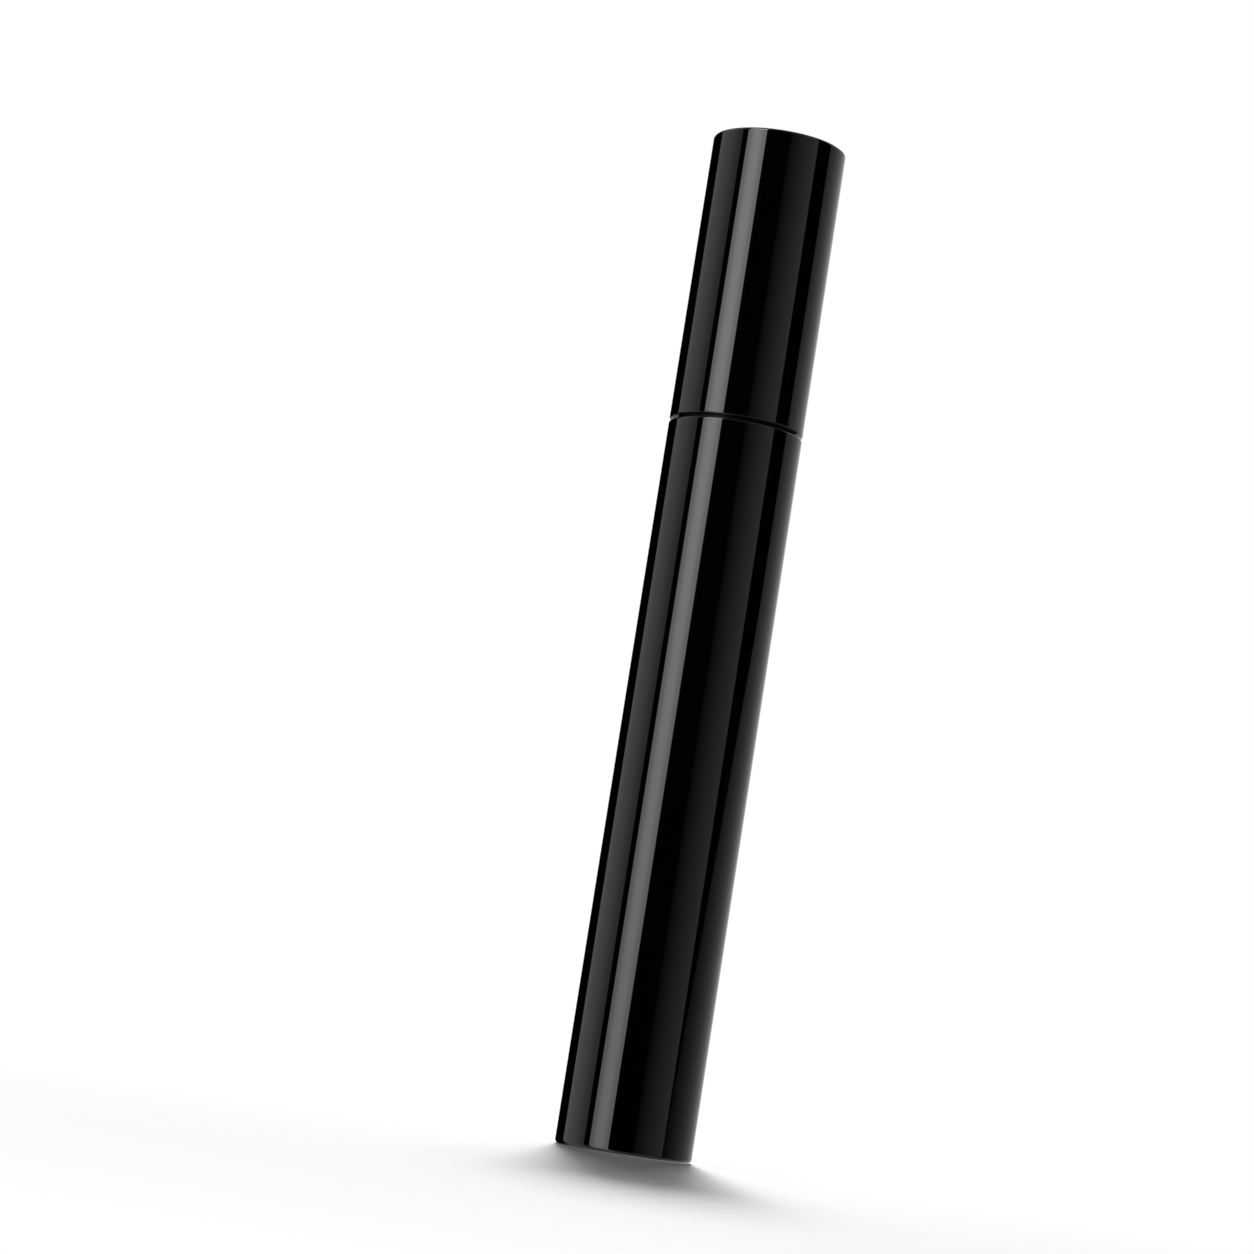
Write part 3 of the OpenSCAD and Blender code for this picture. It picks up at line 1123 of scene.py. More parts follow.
@dataclass(frozen=True)
class Fits:
    """Walls, gaps and edge radii that more than one piece depends on, in millimetres.

    A snap's bead starts at bead_low of its groove's height.
    """

    casing_wall: float = 1.0
    cap_wall: float = 0.9
    skirt_wall: float = 1.1
    thread_room: float = 0.6
    neck_wall: float = 1.2
    bottle_wall: float = 0.75
    seat_gap: float = 0.1
    running_gap: float = 0.07
    rod_r: float = 1.9
    snap_depth: float = 0.2
    snap_h: float = 0.8
    bead_low: float = 0.3
    keen_edge: float = 0.04
    hair_edge: float = 0.05
    bead_edge: float = 0.08
    crisp_edge: float = 0.1
    rim_edge: float = 0.12
    eased_edge: float = 0.15
    seam_edge: float = 0.16
    round_edge: float = 0.2
    soft_edge: float = 0.25
    thread_pitch: float = 2.0
    thread_drop: float = 8.4
    thread_foot: float = 0.95
    thread_crest: float = 0.4
    thread_depth: float = 0.56
    thread_root: float = 0.2
    thread_run_out: float = 0.07
    head_r: float = 2.6
    ceiling_t: float = 1.5
    cap_snap_lift: float = 2.0


@dataclass(frozen=True)
class Stack:
    """The radii from the tube's face inwards, worked out from the levels and the fits."""

    levels: Levels
    fits: Fits = field(default_factory=Fits)

    @property
    def casing_bore(self) -> float:
        """Bore of the outer casing."""
        return self.levels.tube_r - self.fits.casing_wall

    @property
    def bottle(self) -> float:
        """Outside of the inner bottle."""
        return self.casing_bore - self.fits.seat_gap

    @property
    def reservoir(self) -> float:
        """Bore of the reservoir."""
        return self.bottle - self.fits.bottle_wall

    @property
    def cap_bore(self) -> float:
        """Bore of the cap shell."""
        return self.levels.tube_r - self.fits.cap_wall

    @property
    def liner(self) -> float:
        """Outside of the inner cap."""
        return self.cap_bore - 2 * self.fits.seat_gap

    @property
    def thread_bore(self) -> float:
        """Bore of the inner cap's skirt."""
        return self.liner - self.fits.skirt_wall

    @property
    def neck(self) -> float:
        """Outside of the neck, without its thread."""
        return self.thread_bore - self.fits.thread_room - self.fits.seat_gap

    @property
    def neck_bore(self) -> float:
        """Bore of the neck."""
        return self.neck - self.fits.neck_wall

    @property
    def lip(self) -> float:
        """Bore of the wiping lip and of the washer."""
        return self.fits.rod_r + self.fits.running_gap

    @property
    def cap_snap_z(self) -> float:
        """Foot of the snap groove in the cap shell."""
        return self.levels.liner_z + self.fits.cap_snap_lift

    @property
    def cap_floor_z(self) -> float:
        """Top of the inner cap's ceiling."""
        return self.levels.ceiling_z + self.fits.ceiling_t

    @property
    def catch_z(self) -> float:
        """Foot of the groove that holds the rod's barb."""
        return self.cap_floor_z + (self.levels.liner_top_z - self.cap_floor_z) / 2


# ---------------------------------------------------------------- sub-assemblies


@dataclass
class Bottle:
    """The bottle: gloss casing, inner bottle with its threaded neck, collar and wiper."""

    shop: Workshop
    stack: Stack
    floor_t: float = 1.1
    foot_ring: float = 1.9
    foot_recess: float = 0.4
    foot_edge: float = 0.55
    pip_r: float = 1.2
    pip_h: float = 1.5
    gate_r: float = 1.5
    gate_depth: float = 0.25
    bottle_floor: float = 1.2
    corner_r: float = 1.4
    stop_bead_lift: float = 0.5
    stop_bead_h: float = 1.0
    collar_rise: float = 1.6
    collar_gap: float = 0.35
    plug_h: float = 11.0
    cone_h: float = 4.2
    lip_t: float = 0.7
    wiper_wall: float = 0.6
    thread_turns: float = 2.6
    roof_walls: float = 1.6
    stop_bead_share: float = 0.7
    bead_depth: float = 0.7
    bead_high: float = 0.9
    groove_drop: float = 0.9
    groove_h: float = 1.0
    collar_step: float = 0.35
    collar_edge: float = 0.4
    cone_edge: float = 0.5
    casing_flats: int = 192

    @property
    def snap_z(self) -> float:
        """Foot of the snap groove in the casing."""
        return self.stack.levels.shoulder_z - self.corner_r - 2 * self.stack.fits.snap_h

    def build(self) -> None:
        """Makes every piece of the bottle."""
        self.casing()
        self.inner_bottle()
        self.collar()
        self.wiper()

    def casing(self) -> None:
        """The gloss outer casing, with its foot ring, pip and snap groove."""
        lv, fit, st = self.stack.levels, self.stack.fits, self.stack
        floor_z = self.foot_recess + self.floor_t
        gate_z = self.foot_recess + self.gate_depth
        corners = [
            Corner(0, floor_z + self.pip_h),
            Corner(self.pip_r, floor_z + self.pip_h, fit.eased_edge),
            Corner(self.pip_r, floor_z, fit.crisp_edge),
            Corner(st.casing_bore, floor_z, fit.round_edge),
            Corner(st.casing_bore, self.snap_z),
            Corner(st.casing_bore + fit.snap_depth, self.snap_z),
            Corner(st.casing_bore + fit.snap_depth, self.snap_z + fit.snap_h),
            Corner(st.casing_bore, self.snap_z + fit.snap_h),
            Corner(st.casing_bore, lv.casing_h, fit.seam_edge),
            Corner(lv.tube_r, lv.casing_h, fit.seam_edge),
            Corner(lv.tube_r, lv.casing_h * 0.5),
            Corner(lv.tube_r, 0, self.foot_edge),
            Corner(lv.tube_r - self.foot_ring, 0, fit.rim_edge),
            Corner(lv.tube_r - self.foot_ring, self.foot_recess, fit.rim_edge),
            Corner(self.gate_r, self.foot_recess, fit.crisp_edge),
            Corner(self.gate_r - self.gate_depth, gate_z, fit.hair_edge),
            Corner(0, gate_z),
        ]
        mesh = self.shop.turned(corners, Finishes.GLOSS_SHELL, segments=self.casing_flats)
        self.shop.piece("gloss_casing", [mesh], Finishes.GLOSS_SHELL, "bottle", "outer_casing")

    def inner_bottle(self) -> None:
        """The reservoir and its neck, with the male thread and the stop bead."""
        lv, fit, st = self.stack.levels, self.stack.fits, self.stack
        snap_r = st.bottle + fit.snap_depth * self.bead_depth
        snap_low_z = self.snap_z + fit.bead_low * fit.snap_h
        bead_r = st.neck + fit.thread_room * self.stop_bead_share
        bead_z = lv.liner_z + self.stop_bead_lift
        roof_z = lv.shoulder_z - self.roof_walls * fit.bottle_wall
        corners = [
            Corner(0, lv.bottle_z + self.bottle_floor),
            Corner(st.reservoir, lv.bottle_z + self.bottle_floor, self.corner_r),
            Corner(st.reservoir, roof_z, fit.bottle_wall),
            Corner(st.neck_bore, roof_z, fit.crisp_edge),
            Corner(st.neck_bore, lv.neck_z, fit.crisp_edge),
            Corner(st.neck, lv.neck_z, fit.soft_edge),
            Corner(st.neck, bead_z + self.stop_bead_h),
            Corner(bead_r, bead_z + self.stop_bead_h, fit.soft_edge),
            Corner(bead_r, bead_z, fit.crisp_edge),
            Corner(st.neck, bead_z),
            Corner(st.neck, lv.casing_h),
            Corner(st.neck + fit.snap_depth, lv.casing_h, fit.eased_edge),
            Corner(st.neck + fit.snap_depth, lv.casing_h - fit.snap_h, fit.bead_edge),
            Corner(st.neck, lv.casing_h - fit.snap_h),
            Corner(st.neck, lv.shoulder_z, fit.round_edge),
            Corner(st.bottle, lv.shoulder_z, self.corner_r),
            Corner(st.bottle, self.snap_z + self.bead_high * fit.snap_h),
            Corner(snap_r, snap_low_z, fit.keen_edge),
            Corner(st.bottle, snap_low_z),
            Corner(st.bottle, lv.bottle_z, self.corner_r),
            Corner(0, lv.bottle_z),
        ]
        wall = self.shop.turned(corners, Finishes.NATURAL_PLASTIC)
        widths = (fit.thread_foot, fit.thread_crest)
        thread = self.shop.thread(st, st.neck + fit.thread_root, self.thread_turns, widths)
        self.shop.piece(
            "bottle_with_thread", [wall, thread], Finishes.NATURAL_PLASTIC, "bottle", "inner_bottle"
        )

    def collar(self) -> None:
        """The dark ring in the seam, snapped over the neck."""
        lv, fit, st = self.stack.levels, self.stack.fits, self.stack
        outer = st.cap_bore - self.collar_gap
        bore = st.neck + fit.seat_gap
        groove_r = st.neck + fit.snap_depth + fit.seat_gap
        groove_z = lv.casing_h - self.groove_drop
        relief_r = st.neck + fit.soft_edge + fit.seat_gap / 2
        relief_z = lv.shoulder_z + self.collar_step
        step_z = lv.casing_h - fit.seam_edge
        corners = [
            Corner(bore, lv.casing_h + self.collar_rise, fit.soft_edge),
            Corner(outer, lv.casing_h + self.collar_rise, self.collar_edge),
            Corner(outer, step_z, fit.keen_edge),
            Corner(st.bottle, step_z, fit.hair_edge),
            Corner(st.bottle, lv.shoulder_z, fit.crisp_edge),
            Corner(relief_r, lv.shoulder_z),
            Corner(relief_r, relief_z),
            Corner(bore, relief_z),
            Corner(bore, groove_z),
            Corner(groove_r, groove_z),
            Corner(groove_r, groove_z + self.groove_h),
            Corner(bore, groove_z + self.groove_h),
        ]
        mesh = self.shop.turned(corners, Finishes.SATIN_BLACK, closed=True)
        self.shop.piece("seam_collar", [mesh], Finishes.SATIN_BLACK, "bottle", "neck_collar")

    def wiper(self) -> None:
        """The soft wiper: flange, plug with its bead, cone and wiping lip."""
        lv, fit, st = self.stack.levels, self.stack.fits, self.stack
        outer = st.neck_bore - fit.seat_gap / 2
        plug_z = lv.neck_z - self.plug_h
        lip_z = plug_z - self.cone_h
        bead_z = lv.neck_z - self.plug_h / 2
        bead_half = fit.bead_low * fit.snap_h
        flange_r = st.neck - fit.soft_edge
        lip_out = st.lip + self.wiper_wall
        corners = [
            Corner(st.lip, lip_z - self.lip_t, fit.round_edge),
            Corner(lip_out, lip_z - self.lip_t, fit.soft_edge),
            Corner(lip_out, lip_z, fit.round_edge),
            Corner(outer, plug_z, self.cone_edge),
            Corner(outer, bead_z - bead_half),
            Corner(outer + fit.snap_depth, bead_z - bead_half, fit.bead_edge),
            Corner(outer + fit.snap_depth, bead_z + bead_half, fit.bead_edge),
            Corner(outer, bead_z + bead_half),
            Corner(outer, lv.neck_z),
            Corner(flange_r, lv.neck_z, fit.crisp_edge),
            Corner(flange_r, lv.flange_z, fit.soft_edge),
            Corner(outer - self.wiper_wall, lv.flange_z, fit.soft_edge),
            Corner(outer - self.wiper_wall, plug_z, self.cone_edge),
            Corner(st.lip, lip_z, fit.round_edge),
        ]
        mesh = self.shop.turned(corners, Finishes.WIPER_ELASTOMER, closed=True)
        self.shop.piece("wiper_insert", [mesh], Finishes.WIPER_ELASTOMER, "bottle", "wiper")


@dataclass
class Cap:
    """The cap: gloss shell and the inner cap with its thread, socket and ribs."""

    shop: Workshop
    stack: Stack
    crown_edge: float = 0.3
    bead_high: float = 0.8
    top_t: float = 1.2
    stop_ring_t: float = 0.9
    stop_ring_in: float = 0.8
    stop_gap: float = 0.12
    roof_edge: float = 0.4
    socket_wall: float = 1.1
    socket_ribs: int = 8
    rib_t: float = 0.8
    rib_root: float = 0.2
    rib_foot: float = 0.3
    rib_drop: float = 0.5
    crush_ribs: int = 12
    crush_w: float = 0.8
    crush_root: float = 0.3
    thread_turns: float = 2.4
    shell_flats: int = 192

    def build(self) -> None:
        """Makes both pieces of the cap."""
        self.shell()
        self.inner_cap()

    def shell(self) -> None:
        """The gloss cap shell, with the snap groove and the stop ring over the weight."""
        lv, fit, st = self.stack.levels, self.stack.fits, self.stack
        roof_z = lv.cap_top_z - self.top_t
        snap_z = st.cap_snap_z
        stop_z = lv.weight_top_z + self.stop_gap
        stop_r = st.cap_bore - self.stop_gap - self.stop_ring_in
        corners = [
            Corner(0, roof_z),
            Corner(stop_r - self.stop_ring_t, roof_z, fit.crisp_edge),
            Corner(stop_r - self.stop_ring_t, stop_z, fit.eased_edge),
            Corner(stop_r, stop_z, fit.eased_edge),
            Corner(stop_r, roof_z),
            Corner(st.cap_bore, roof_z, self.roof_edge),
            Corner(st.cap_bore, snap_z + fit.snap_h),
            Corner(st.cap_bore + fit.snap_depth, snap_z + fit.snap_h),
            Corner(st.cap_bore + fit.snap_depth, snap_z),
            Corner(st.cap_bore, snap_z),
            Corner(st.cap_bore, lv.cap_z, fit.seam_edge),
            Corner(lv.tube_r, lv.cap_z, fit.seam_edge),
            Corner(lv.tube_r, (lv.cap_z + lv.cap_top_z) / 2),
            Corner(lv.tube_r, lv.cap_top_z, self.crown_edge),
            Corner(0, lv.cap_top_z),
        ]
        mesh = self.shop.turned(corners, Finishes.GLOSS_SHELL, segments=self.shell_flats)
        self.shop.piece("gloss_cap", [mesh], Finishes.GLOSS_SHELL, "applicator", "cap_shell")

    def inner_cap(self) -> None:
        """The inner cap: skirt with the female thread, ceiling, socket and both sets of ribs."""
        lv, fit, st = self.stack.levels, self.stack.fits, self.stack
        hole = fit.head_r + fit.seat_gap
        socket_r = hole + self.socket_wall
        wall_r = st.liner - fit.cap_wall
        floor_z, catch_z, snap_z = st.cap_floor_z, st.catch_z, st.cap_snap_z
        bead_r = st.cap_bore + fit.snap_depth - fit.seat_gap
        snap_low_z = snap_z + fit.bead_low * fit.snap_h
        corners = [
            Corner(hole, lv.ceiling_z, fit.crisp_edge),
            Corner(hole, catch_z),
            Corner(hole + fit.snap_depth, catch_z),
            Corner(hole + fit.snap_depth, catch_z + fit.snap_h),
            Corner(hole, catch_z + fit.snap_h),
            Corner(hole, lv.liner_top_z, fit.eased_edge),
            Corner(socket_r, lv.liner_top_z, fit.eased_edge),
            Corner(socket_r, floor_z, fit.round_edge),
            Corner(wall_r, floor_z, fit.round_edge),
            Corner(wall_r, lv.liner_top_z, fit.eased_edge),
            Corner(st.liner, lv.liner_top_z, fit.eased_edge),
            Corner(st.liner, snap_z + self.bead_high * fit.snap_h),
            Corner(bead_r, snap_low_z, fit.hair_edge),
            Corner(st.liner, snap_low_z),
            Corner(st.liner, lv.liner_z, fit.soft_edge),
            Corner(st.thread_bore, lv.liner_z, fit.soft_edge),
            Corner(st.thread_bore, lv.ceiling_z, fit.soft_edge),
        ]
        wall = self.shop.turned(corners, Finishes.NATURAL_PLASTIC, closed=True)
        widths = (fit.thread_crest, fit.thread_foot)
        thread = self.shop.thread(
            st, st.thread_bore - fit.thread_root, self.thread_turns, widths, math.pi
        )
        sockets = self.shop.ribs(
            self.socket_ribs,
            (socket_r - self.rib_root, wall_r + self.rib_root),
            self.rib_t,
            (floor_z - self.rib_foot, lv.liner_top_z - self.rib_drop),
        )
        crush = self.shop.ribs(
            self.crush_ribs,
            (st.liner - self.crush_root, st.cap_bore - fit.seat_gap / 2),
            self.crush_w,
            (snap_z + 2 * fit.snap_h, lv.liner_top_z - fit.snap_h),
            math.pi / self.crush_ribs,
        )
        parts = [wall, thread, sockets, crush]
        self.shop.piece(
            "threaded_liner", parts, Finishes.NATURAL_PLASTIC, "applicator", "inner_cap"
        )


@dataclass
class Wand:
    """The wand: rod, foam washer, twisted wire and bristles."""

    shop: Workshop
    stack: Stack
    head_drop: float = 0.5
    taper_h: float = 2.2
    taper_edge: float = 1.0
    barb_depth: float = 0.95
    barb_low: float = 0.15
    barb_high: float = 0.85
    end_r: float = 1.45
    wire_r: float = 0.35
    wire_offset: float = 0.445
    staked_len: float = 5.6
    twist_pitch: float = 2.8
    tip_r: float = 1.7
    root_r: float = 2.7
    fibre_r: float = 0.038
    fibres: int = 4600
    end_room: float = 0.25
    flats: int = 96

    def build(self) -> None:
        """Makes every piece of the wand."""
        self.rod()
        self.washer()
        self.wire()
        self.bristles()

    def rod(self) -> None:
        """The moulded rod, with its barbed head and bored end."""
        lv, fit = self.stack.levels, self.stack.fits
        head_z = lv.liner_top_z - self.head_drop
        barb_r = fit.head_r + fit.snap_depth * self.barb_depth
        barb_z = self.stack.catch_z + self.barb_low * fit.snap_h
        bore = self.wire_offset + self.wire_r + fit.seat_gap / 2
        bore_z = lv.rod_end_z + self.staked_len + 2 * self.wire_r + fit.seat_gap
        corners = [
            Corner(0, bore_z),
            Corner(bore, bore_z),
            Corner(bore, lv.rod_end_z, fit.rim_edge),
            Corner(self.end_r, lv.rod_end_z, fit.soft_edge),
            Corner(fit.rod_r, lv.rod_end_z + self.taper_h, self.taper_edge),
            Corner(fit.rod_r, (lv.rod_end_z + lv.ceiling_z) / 2),
            Corner(fit.rod_r, lv.ceiling_z),
            Corner(fit.head_r, lv.ceiling_z, fit.crisp_edge),
            Corner(fit.head_r, barb_z),
            Corner(barb_r, barb_z, fit.hair_edge),
            Corner(fit.head_r, self.stack.catch_z + self.barb_high * fit.snap_h),
            Corner(fit.head_r, head_z, 2 * fit.soft_edge),
            Corner(0, head_z),
        ]
        mesh = self.shop.turned(corners, Finishes.SATIN_BLACK, segments=self.flats)
        self.shop.piece("wand_stem", [mesh], Finishes.SATIN_BLACK, "applicator", "wand_rod")

    def washer(self) -> None:
        """The foam washer, loose on the rod."""
        lv, fit, st = self.stack.levels, self.stack.fits, self.stack
        outer = st.neck - fit.soft_edge
        corners = [
            Corner(st.lip, lv.flange_z, fit.hair_edge),
            Corner(outer, lv.flange_z, fit.soft_edge),
            Corner(outer, lv.ceiling_z, fit.soft_edge),
            Corner(st.lip, lv.ceiling_z, fit.hair_edge),
        ]
        mesh = self.shop.turned(corners, Finishes.WASHER_FOAM, closed=True, segments=self.flats)
        self.shop.piece("foam_washer", [mesh], Finishes.WASHER_FOAM, "washer", "seal_washer")

    def wire(self) -> None:
        """The two wires, twisted together up into the rod."""
        lv = self.stack.levels
        length = lv.rod_end_z + self.staked_len - lv.wire_tip_z - self.wire_r
        strands = [
            self.shop.outward(
                self.shop.twisting.bake(
                    bpy.data.meshes.new("strand"),
                    self.shop.materials[Finishes.WIRE_STEEL],
                    Turns=length / self.twist_pitch,
                    Pitch=self.twist_pitch * MM,
                    Radius=self.wire_offset * MM,
                    Start_Z=(lv.wire_tip_z + self.wire_r) * MM,
                    Start_Angle=side * math.pi / 2 + self.wire_r / self.twist_pitch * math.tau,
                    Wire_Radius=self.wire_r * MM,
                )
            )
            for side in (-1, 1)
        ]
        self.shop.piece("twisted_wire", strands, Finishes.WIRE_STEEL, "applicator", "brush_core")

    def bristles(self) -> None:
        """The bristles, set along the wires and trimmed to the brush's outline."""
        lv = self.stack.levels
        mesh = self.shop.bristling.bake(
            bpy.data.meshes.new("bristles"),
            self.shop.materials[Finishes.BRISTLE_FIBRE],
            Count=self.fibres,
            Low_Z=(lv.bristle_z + self.end_room) * MM,
            Length=(lv.bristle_top_z - lv.bristle_z - 2 * self.end_room) * MM,
            Twist_Pitch=self.twist_pitch * MM,
            Tip_Z=lv.wire_tip_z * MM,
            Tip_Radius=self.tip_r * MM,
            Full_Radius=lv.brush_r * MM,
            Root_Radius=self.root_r * MM,
            Thickness=self.fibre_r * MM,
        )
        self.shop.piece(
            "brush_fibres", [mesh], Finishes.BRISTLE_FIBRE, "applicator", "brush_bristles"
        )


@dataclass
class Weights:
    """The two steel weights, which keep the model's own solids."""

    shop: Workshop
    nodes: tuple[str, ...] = ("base_weight", "cap_weight")

    def dress(self) -> None:
        """Gives both weights their turned steel."""
        for name in self.nodes:
            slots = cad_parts[name].material_slots
            for place in slots:
                place.material = self.shop.materials[Finishes.WEIGHT_STEEL]
            log.info("%s: dressed in %s", name, Finishes.WEIGHT_STEEL.value.name)


# ---------------------------------------------------------------- studio


@dataclass(frozen=True)
class Camera:
    """The photograph's camera: close to the plane of the tube's foot, looking up, rolled."""

    distance_mm: float = 408.19
    height_mm: float = 10.76
    pitch_deg: float = 7.194
    yaw_deg: float = -1.308
    roll_deg: float = 9.043
    lens_mm: float = 97.61
    sensor_mm: float = 36.0
    nearest: float = 0.01

    def build(self) -> None:
        """Makes the camera and makes it the scene's."""
        data = bpy.data.cameras.new("photo_camera")
        data.sensor_width = self.sensor_mm
        data.lens = self.lens_mm
        data.clip_start = self.nearest
        made = bpy.data.objects.new("photo_camera", data)
        bpy.context.scene.collection.objects.link(made)
        pitch, yaw, roll = (math.radians(v) for v in (self.pitch_deg, self.yaw_deg, self.roll_deg))
        level = Vector((math.sin(yaw), math.cos(yaw), 0.0))
        forward = level * math.cos(pitch) + Vector((0.0, 0.0, math.sin(pitch)))
        right = Vector((math.cos(yaw), -math.sin(yaw), 0.0))
        up = right.cross(forward)
        across = right * math.cos(roll) + up * math.sin(roll)
        above = up * math.cos(roll) - right * math.sin(roll)
        turn = Matrix((across, above, -forward)).transposed()
        place = Matrix.Translation((0.0, -self.distance_mm * MM, self.height_mm * MM))
        made.matrix_world = place @ turn.to_4x4()
        bpy.context.scene.camera = made


@dataclass(frozen=True)
class Softbox:
    """A light panel at the bearings from which the tube sees it, as a lamp and as a reflection.

    A bearing is 0 towards the camera and grows towards +X. The lamp lights matt surfaces. What
    gloss shows is a band of the world, so that it keeps its soft edges. At its foot it has
    foot_share of its level. Its first edge may lean: below a height it stands farther out, by
    lean degrees for each degree.
    """

    name: str
    from_deg: float
    to_deg: float
    first: float
    last: float
    first_soft: float = 0.8
    last_soft: float = 0.8
    foot_share: float = 0.7
    foot_from_deg: float = -4.0
    foot_to_deg: float = 14.0
    lean: float = 0.0
    lean_below_deg: float = 7.7
    lean_most_deg: float = 28.0
    lamp: bool = True
    distance: float = 0.6
    height: float = 0.22

    def lamp_on(self) -> None:
        """Makes the area lamp, which gloss doesn't show."""
        middle = math.radians((self.from_deg + self.to_deg) / 2)
        half = math.radians((self.to_deg - self.from_deg) / 2)
        away = Vector((math.sin(middle), -math.cos(middle), 0.0))
        size = (2 * self.distance * math.tan(half), self.height)
        place = away * self.distance + Vector((0.0, 0.0, self.height / 2))
        area_lamp(self.name, place, size, (self.first + self.last) / 2, away)

    def band(self, bearing: Value, height: Value) -> Value:
        """The softbox as gloss shows it.

        Args:
            bearing: the direction's bearing, in degrees.
            height: how far the direction points up, in degrees.

        Returns:
            Its radiance, 0 outside it.
        """
        half = (self.to_deg - self.from_deg) / 2
        middle = (self.to_deg + self.from_deg) / 2
        across = (((bearing - middle) / 360.0 + 0.5).fraction() - 0.5) * 360.0
        inner = across
        if self.lean:
            below = (self.lean_below_deg - height) * self.lean
            inner = across + below.maximum(0.0).minimum(self.lean_most_deg)
        opening = inner.step(-half, -half + self.first_soft)
        closing = 1.0 - across.step(half - self.last_soft, half)
        level = across * ((self.last - self.first) / (2 * half)) + (self.first + self.last) / 2
        above_foot = height.step(self.foot_from_deg, self.foot_to_deg)
        share = self.foot_share + (1.0 - self.foot_share) * above_foot
        return opening * closing * level * share


class LampShape(Enum):
    """The outline of a lamp's face."""

    PANEL = "RECTANGLE"
    ROUND = "ELLIPSE"

    @property
    def share(self) -> float:
        """How much of its width times its height the face fills."""
        return 1.0 if self is LampShape.PANEL else math.pi / 4


def area_lamp(name: str, place: Vector, size: tuple[float, float], radiance: float,
              away: Vector, shape: LampShape = LampShape.PANEL) -> None:
    """Makes a lamp that neither the camera nor gloss shows.

    Args:
        name: the lamp's name.
        place: its centre, in metres.
        size: its width and height, in metres.
        radiance: how bright its face is.
        away: the direction from the tube to the lamp.
        shape: its outline.
    """
    data = bpy.data.lights.new(name, "AREA")
    data.shape = shape.value
    data.size, data.size_y = size
    data.energy = radiance * math.pi * size[0] * size[1] * shape.share
    made = bpy.data.objects.new(name, data)
    made.visible_camera = False
    made.visible_glossy = False
    bpy.context.scene.collection.objects.link(made)
    turn = away.to_track_quat("Z", "Y").to_matrix().to_4x4()
    made.matrix_world = Matrix.Translation(place) @ turn


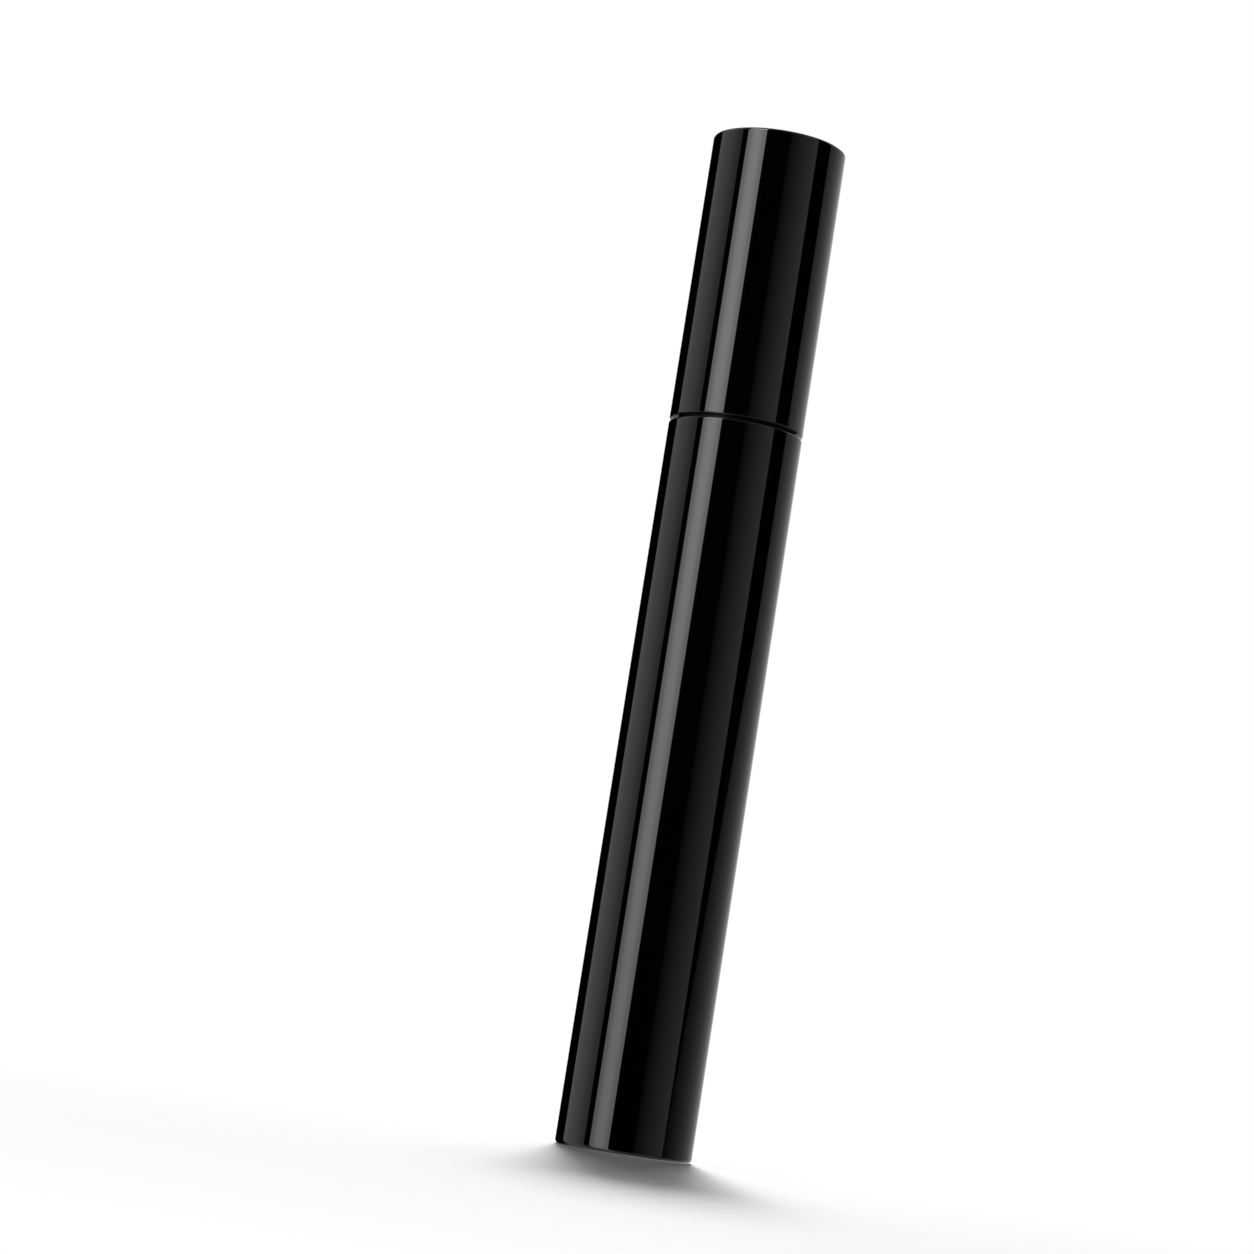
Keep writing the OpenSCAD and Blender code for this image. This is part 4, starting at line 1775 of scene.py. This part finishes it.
@dataclass
class Studio:
    """Pale floor, white surroundings and soft panels, at a plain level."""

    camera: Camera = field(default_factory=Camera)
    softboxes: tuple[Softbox, ...] = (
        Softbox("key_box", -60.0, -25.4, 2.7, 3.3),
        Softbox("key_core", -57.0, -28.0, 1.4, 1.4, first_soft=11.0, last_soft=11.0, lamp=False),
        Softbox("left_box", -123.0, -70.0, 0.4, 0.44, foot_share=1.15),
        Softbox("left_core", -123.0, -71.0, 0.3, 0.3, last_soft=24.0, foot_share=1.15, lamp=False),
        Softbox("front_box", 15.5, 68.5, 0.045, 0.55, foot_share=0.8),
        Softbox(
            "back_wall", 97.0, 186.0, 0.27, 1.0,
            last_soft=8.0, foot_share=0.85, lean=3.17, lamp=False,
        ),
    )
    low_edge_deg: float = -26.0
    low_soft_deg: float = 12.0
    low_share: float = 0.35
    low_glow: float = 0.4
    high_edge_deg: float = 38.0
    high_soft_deg: float = 4.0
    high_glow: float = 0.6
    ceiling_from_deg: float = 36.0
    ceiling_full_deg: float = 52.0
    head_deg: float = 24.0
    head_gain: float = 2.0
    ambient: float = 0.05
    floor_albedo: float = 0.8
    floor_half: float = 3.0
    near_r: float = 0.13
    far_r: float = 0.26
    back_lamp: Vector = field(default_factory=lambda: Vector((-0.03, 1.78, 2.12)))
    back_lamp_faces: tuple[tuple[str, float, float, float], ...] = (
        ("back_lamp", 0.25, 0.85, 0.62),
        ("back_lamp_halo", 0.6, 1.15, 0.31),
    )

    def build(self) -> None:
        """Makes the camera, the lights, the floor and the world."""
        self.camera.build()
        for box in self.softboxes:
            if box.lamp:
                box.lamp_on()
        away = self.back_lamp
        for name, across, tall, level in self.back_lamp_faces:
            # The radiance that lights a white floor under the tube to that level.
            face = across * tall * LampShape.ROUND.share
            radiance = level * math.pi * away.length ** 3 / (away.z * face)
            size = (across, tall)
            area_lamp(name, away, size, radiance, away.normalized(), LampShape.ROUND)
        self.floor()
        self.world()
        bpy.context.scene.view_settings.view_transform = "Standard"

    @staticmethod
    def seen_directly(sketch: NodeSketch) -> Value:
        """1 where the camera looks at a surface, also through glass.

        Args:
            sketch: the tree to write in.

        Returns:
            1 or 0.
        """
        path = sketch.node("ShaderNodeLightPath")
        return Value(sketch, path.outputs["Is Camera Ray"]).maximum(
            Value(sketch, path.outputs["Is Transmission Ray"])
        )

    def floor(self) -> None:
        """The floor: it takes the tube's shadow, looks white and turns plain white farther out."""
        mesh = bpy.data.meshes.new("studio_floor")
        signs = ((-1, -1), (1, -1), (1, 1), (-1, 1))
        corners = [(x * self.floor_half, y * self.floor_half, 0.0) for x, y in signs]
        mesh.from_pydata(corners, [], [(0, 1, 2, 3)])
        made = bpy.data.objects.new("studio_floor", mesh)
        made.visible_glossy = False
        bpy.context.scene.collection.objects.link(made)
        material = bpy.data.materials.new("studio_floor")
        material.use_nodes = True
        material.node_tree.nodes.clear()
        sketch = NodeSketch(material.node_tree)
        spot = sketch.value("ShaderNodeTexCoord", output="Object")
        reach = sketch.value(
            "ShaderNodeVectorMath", {"operation": "LENGTH"}, {0: spot}, output="Value"
        )
        seen = self.seen_directly(sketch)
        white = seen * reach.step(self.near_r, self.far_r)
        pale = sketch.value(
            "ShaderNodeMix",
            {"data_type": "RGBA"},
            {"Factor": seen, "A": grey(self.floor_albedo), "B": grey(1.0)},
            output=COLOUR_RESULT,
        )
        matt = sketch.node("ShaderNodeBsdfDiffuse", None, {"Color": pale})
        plain = sketch.node("ShaderNodeEmission", None, {"Color": grey(1.0), "Strength": 1.0})
        surface = sketch.value(
            "ShaderNodeMixShader", None, {0: white, 1: matt.outputs[0], 2: plain.outputs[0]}
        )
        sketch.node("ShaderNodeOutputMaterial", None, {"Surface": surface})
        mesh.materials.append(material)

    def world(self) -> None:
        """White to the camera, the softboxes to gloss, and a dim even light to the rest."""
        world = bpy.data.worlds.new("studio")
        bpy.context.scene.world = world
        world.use_nodes = True
        world.node_tree.nodes.clear()
        sketch = NodeSketch(world.node_tree)
        seen = self.seen_directly(sketch)
        mirrored = sketch.value("ShaderNodeLightPath", output="Is Glossy Ray")
        ray = sketch.value("ShaderNodeTexCoord", output="Generated")
        parts = sketch.node("ShaderNodeSeparateXYZ", None, {"Vector": ray})
        x, y, z = (Value(sketch, out) for out in parts.outputs)
        degrees = 180 / math.pi
        bearing = x.bearing_over(y * -1.0) * degrees
        height = z.arcsine() * degrees
        bands = 0.0
        for box in self.softboxes:
            bands = box.band(bearing, height) + bands
        low = 1.0 - height.step(self.low_edge_deg - self.low_soft_deg, self.low_edge_deg)
        high = height.step(self.high_edge_deg, self.high_edge_deg + self.high_soft_deg)
        window = (1.0 - low * (1.0 - self.low_share)) * (1.0 - high)
        ceiling = height.step(self.ceiling_from_deg, self.ceiling_full_deg)
        glow = self.low_glow * low + self.high_glow * ceiling
        over_head = height.step(self.head_deg, self.head_deg + self.high_soft_deg)
        head = 1.0 + self.head_gain * over_head
        gloss = mirrored * (bands * window * head + glow)
        strength = seen + gloss + (1.0 - seen.maximum(mirrored)) * self.ambient
        light = sketch.node(
            "ShaderNodeBackground", None, {"Color": grey(1.0), "Strength": strength}
        )
        sketch.node("ShaderNodeOutputWorld", None, {"Surface": light.outputs[0]})


def main() -> None:
    """Builds the tube and the studio."""
    logging.basicConfig(level=logging.INFO, format="%(name)s: %(message)s")
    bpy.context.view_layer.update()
    shop = Workshop()
    stack = Stack(Levels.from_frame())
    Bottle(shop, stack).build()
    Cap(shop, stack).build()
    Wand(shop, stack).build()
    Weights(shop).dress()
    Studio().build()


if __name__ == "__main__":
    main()
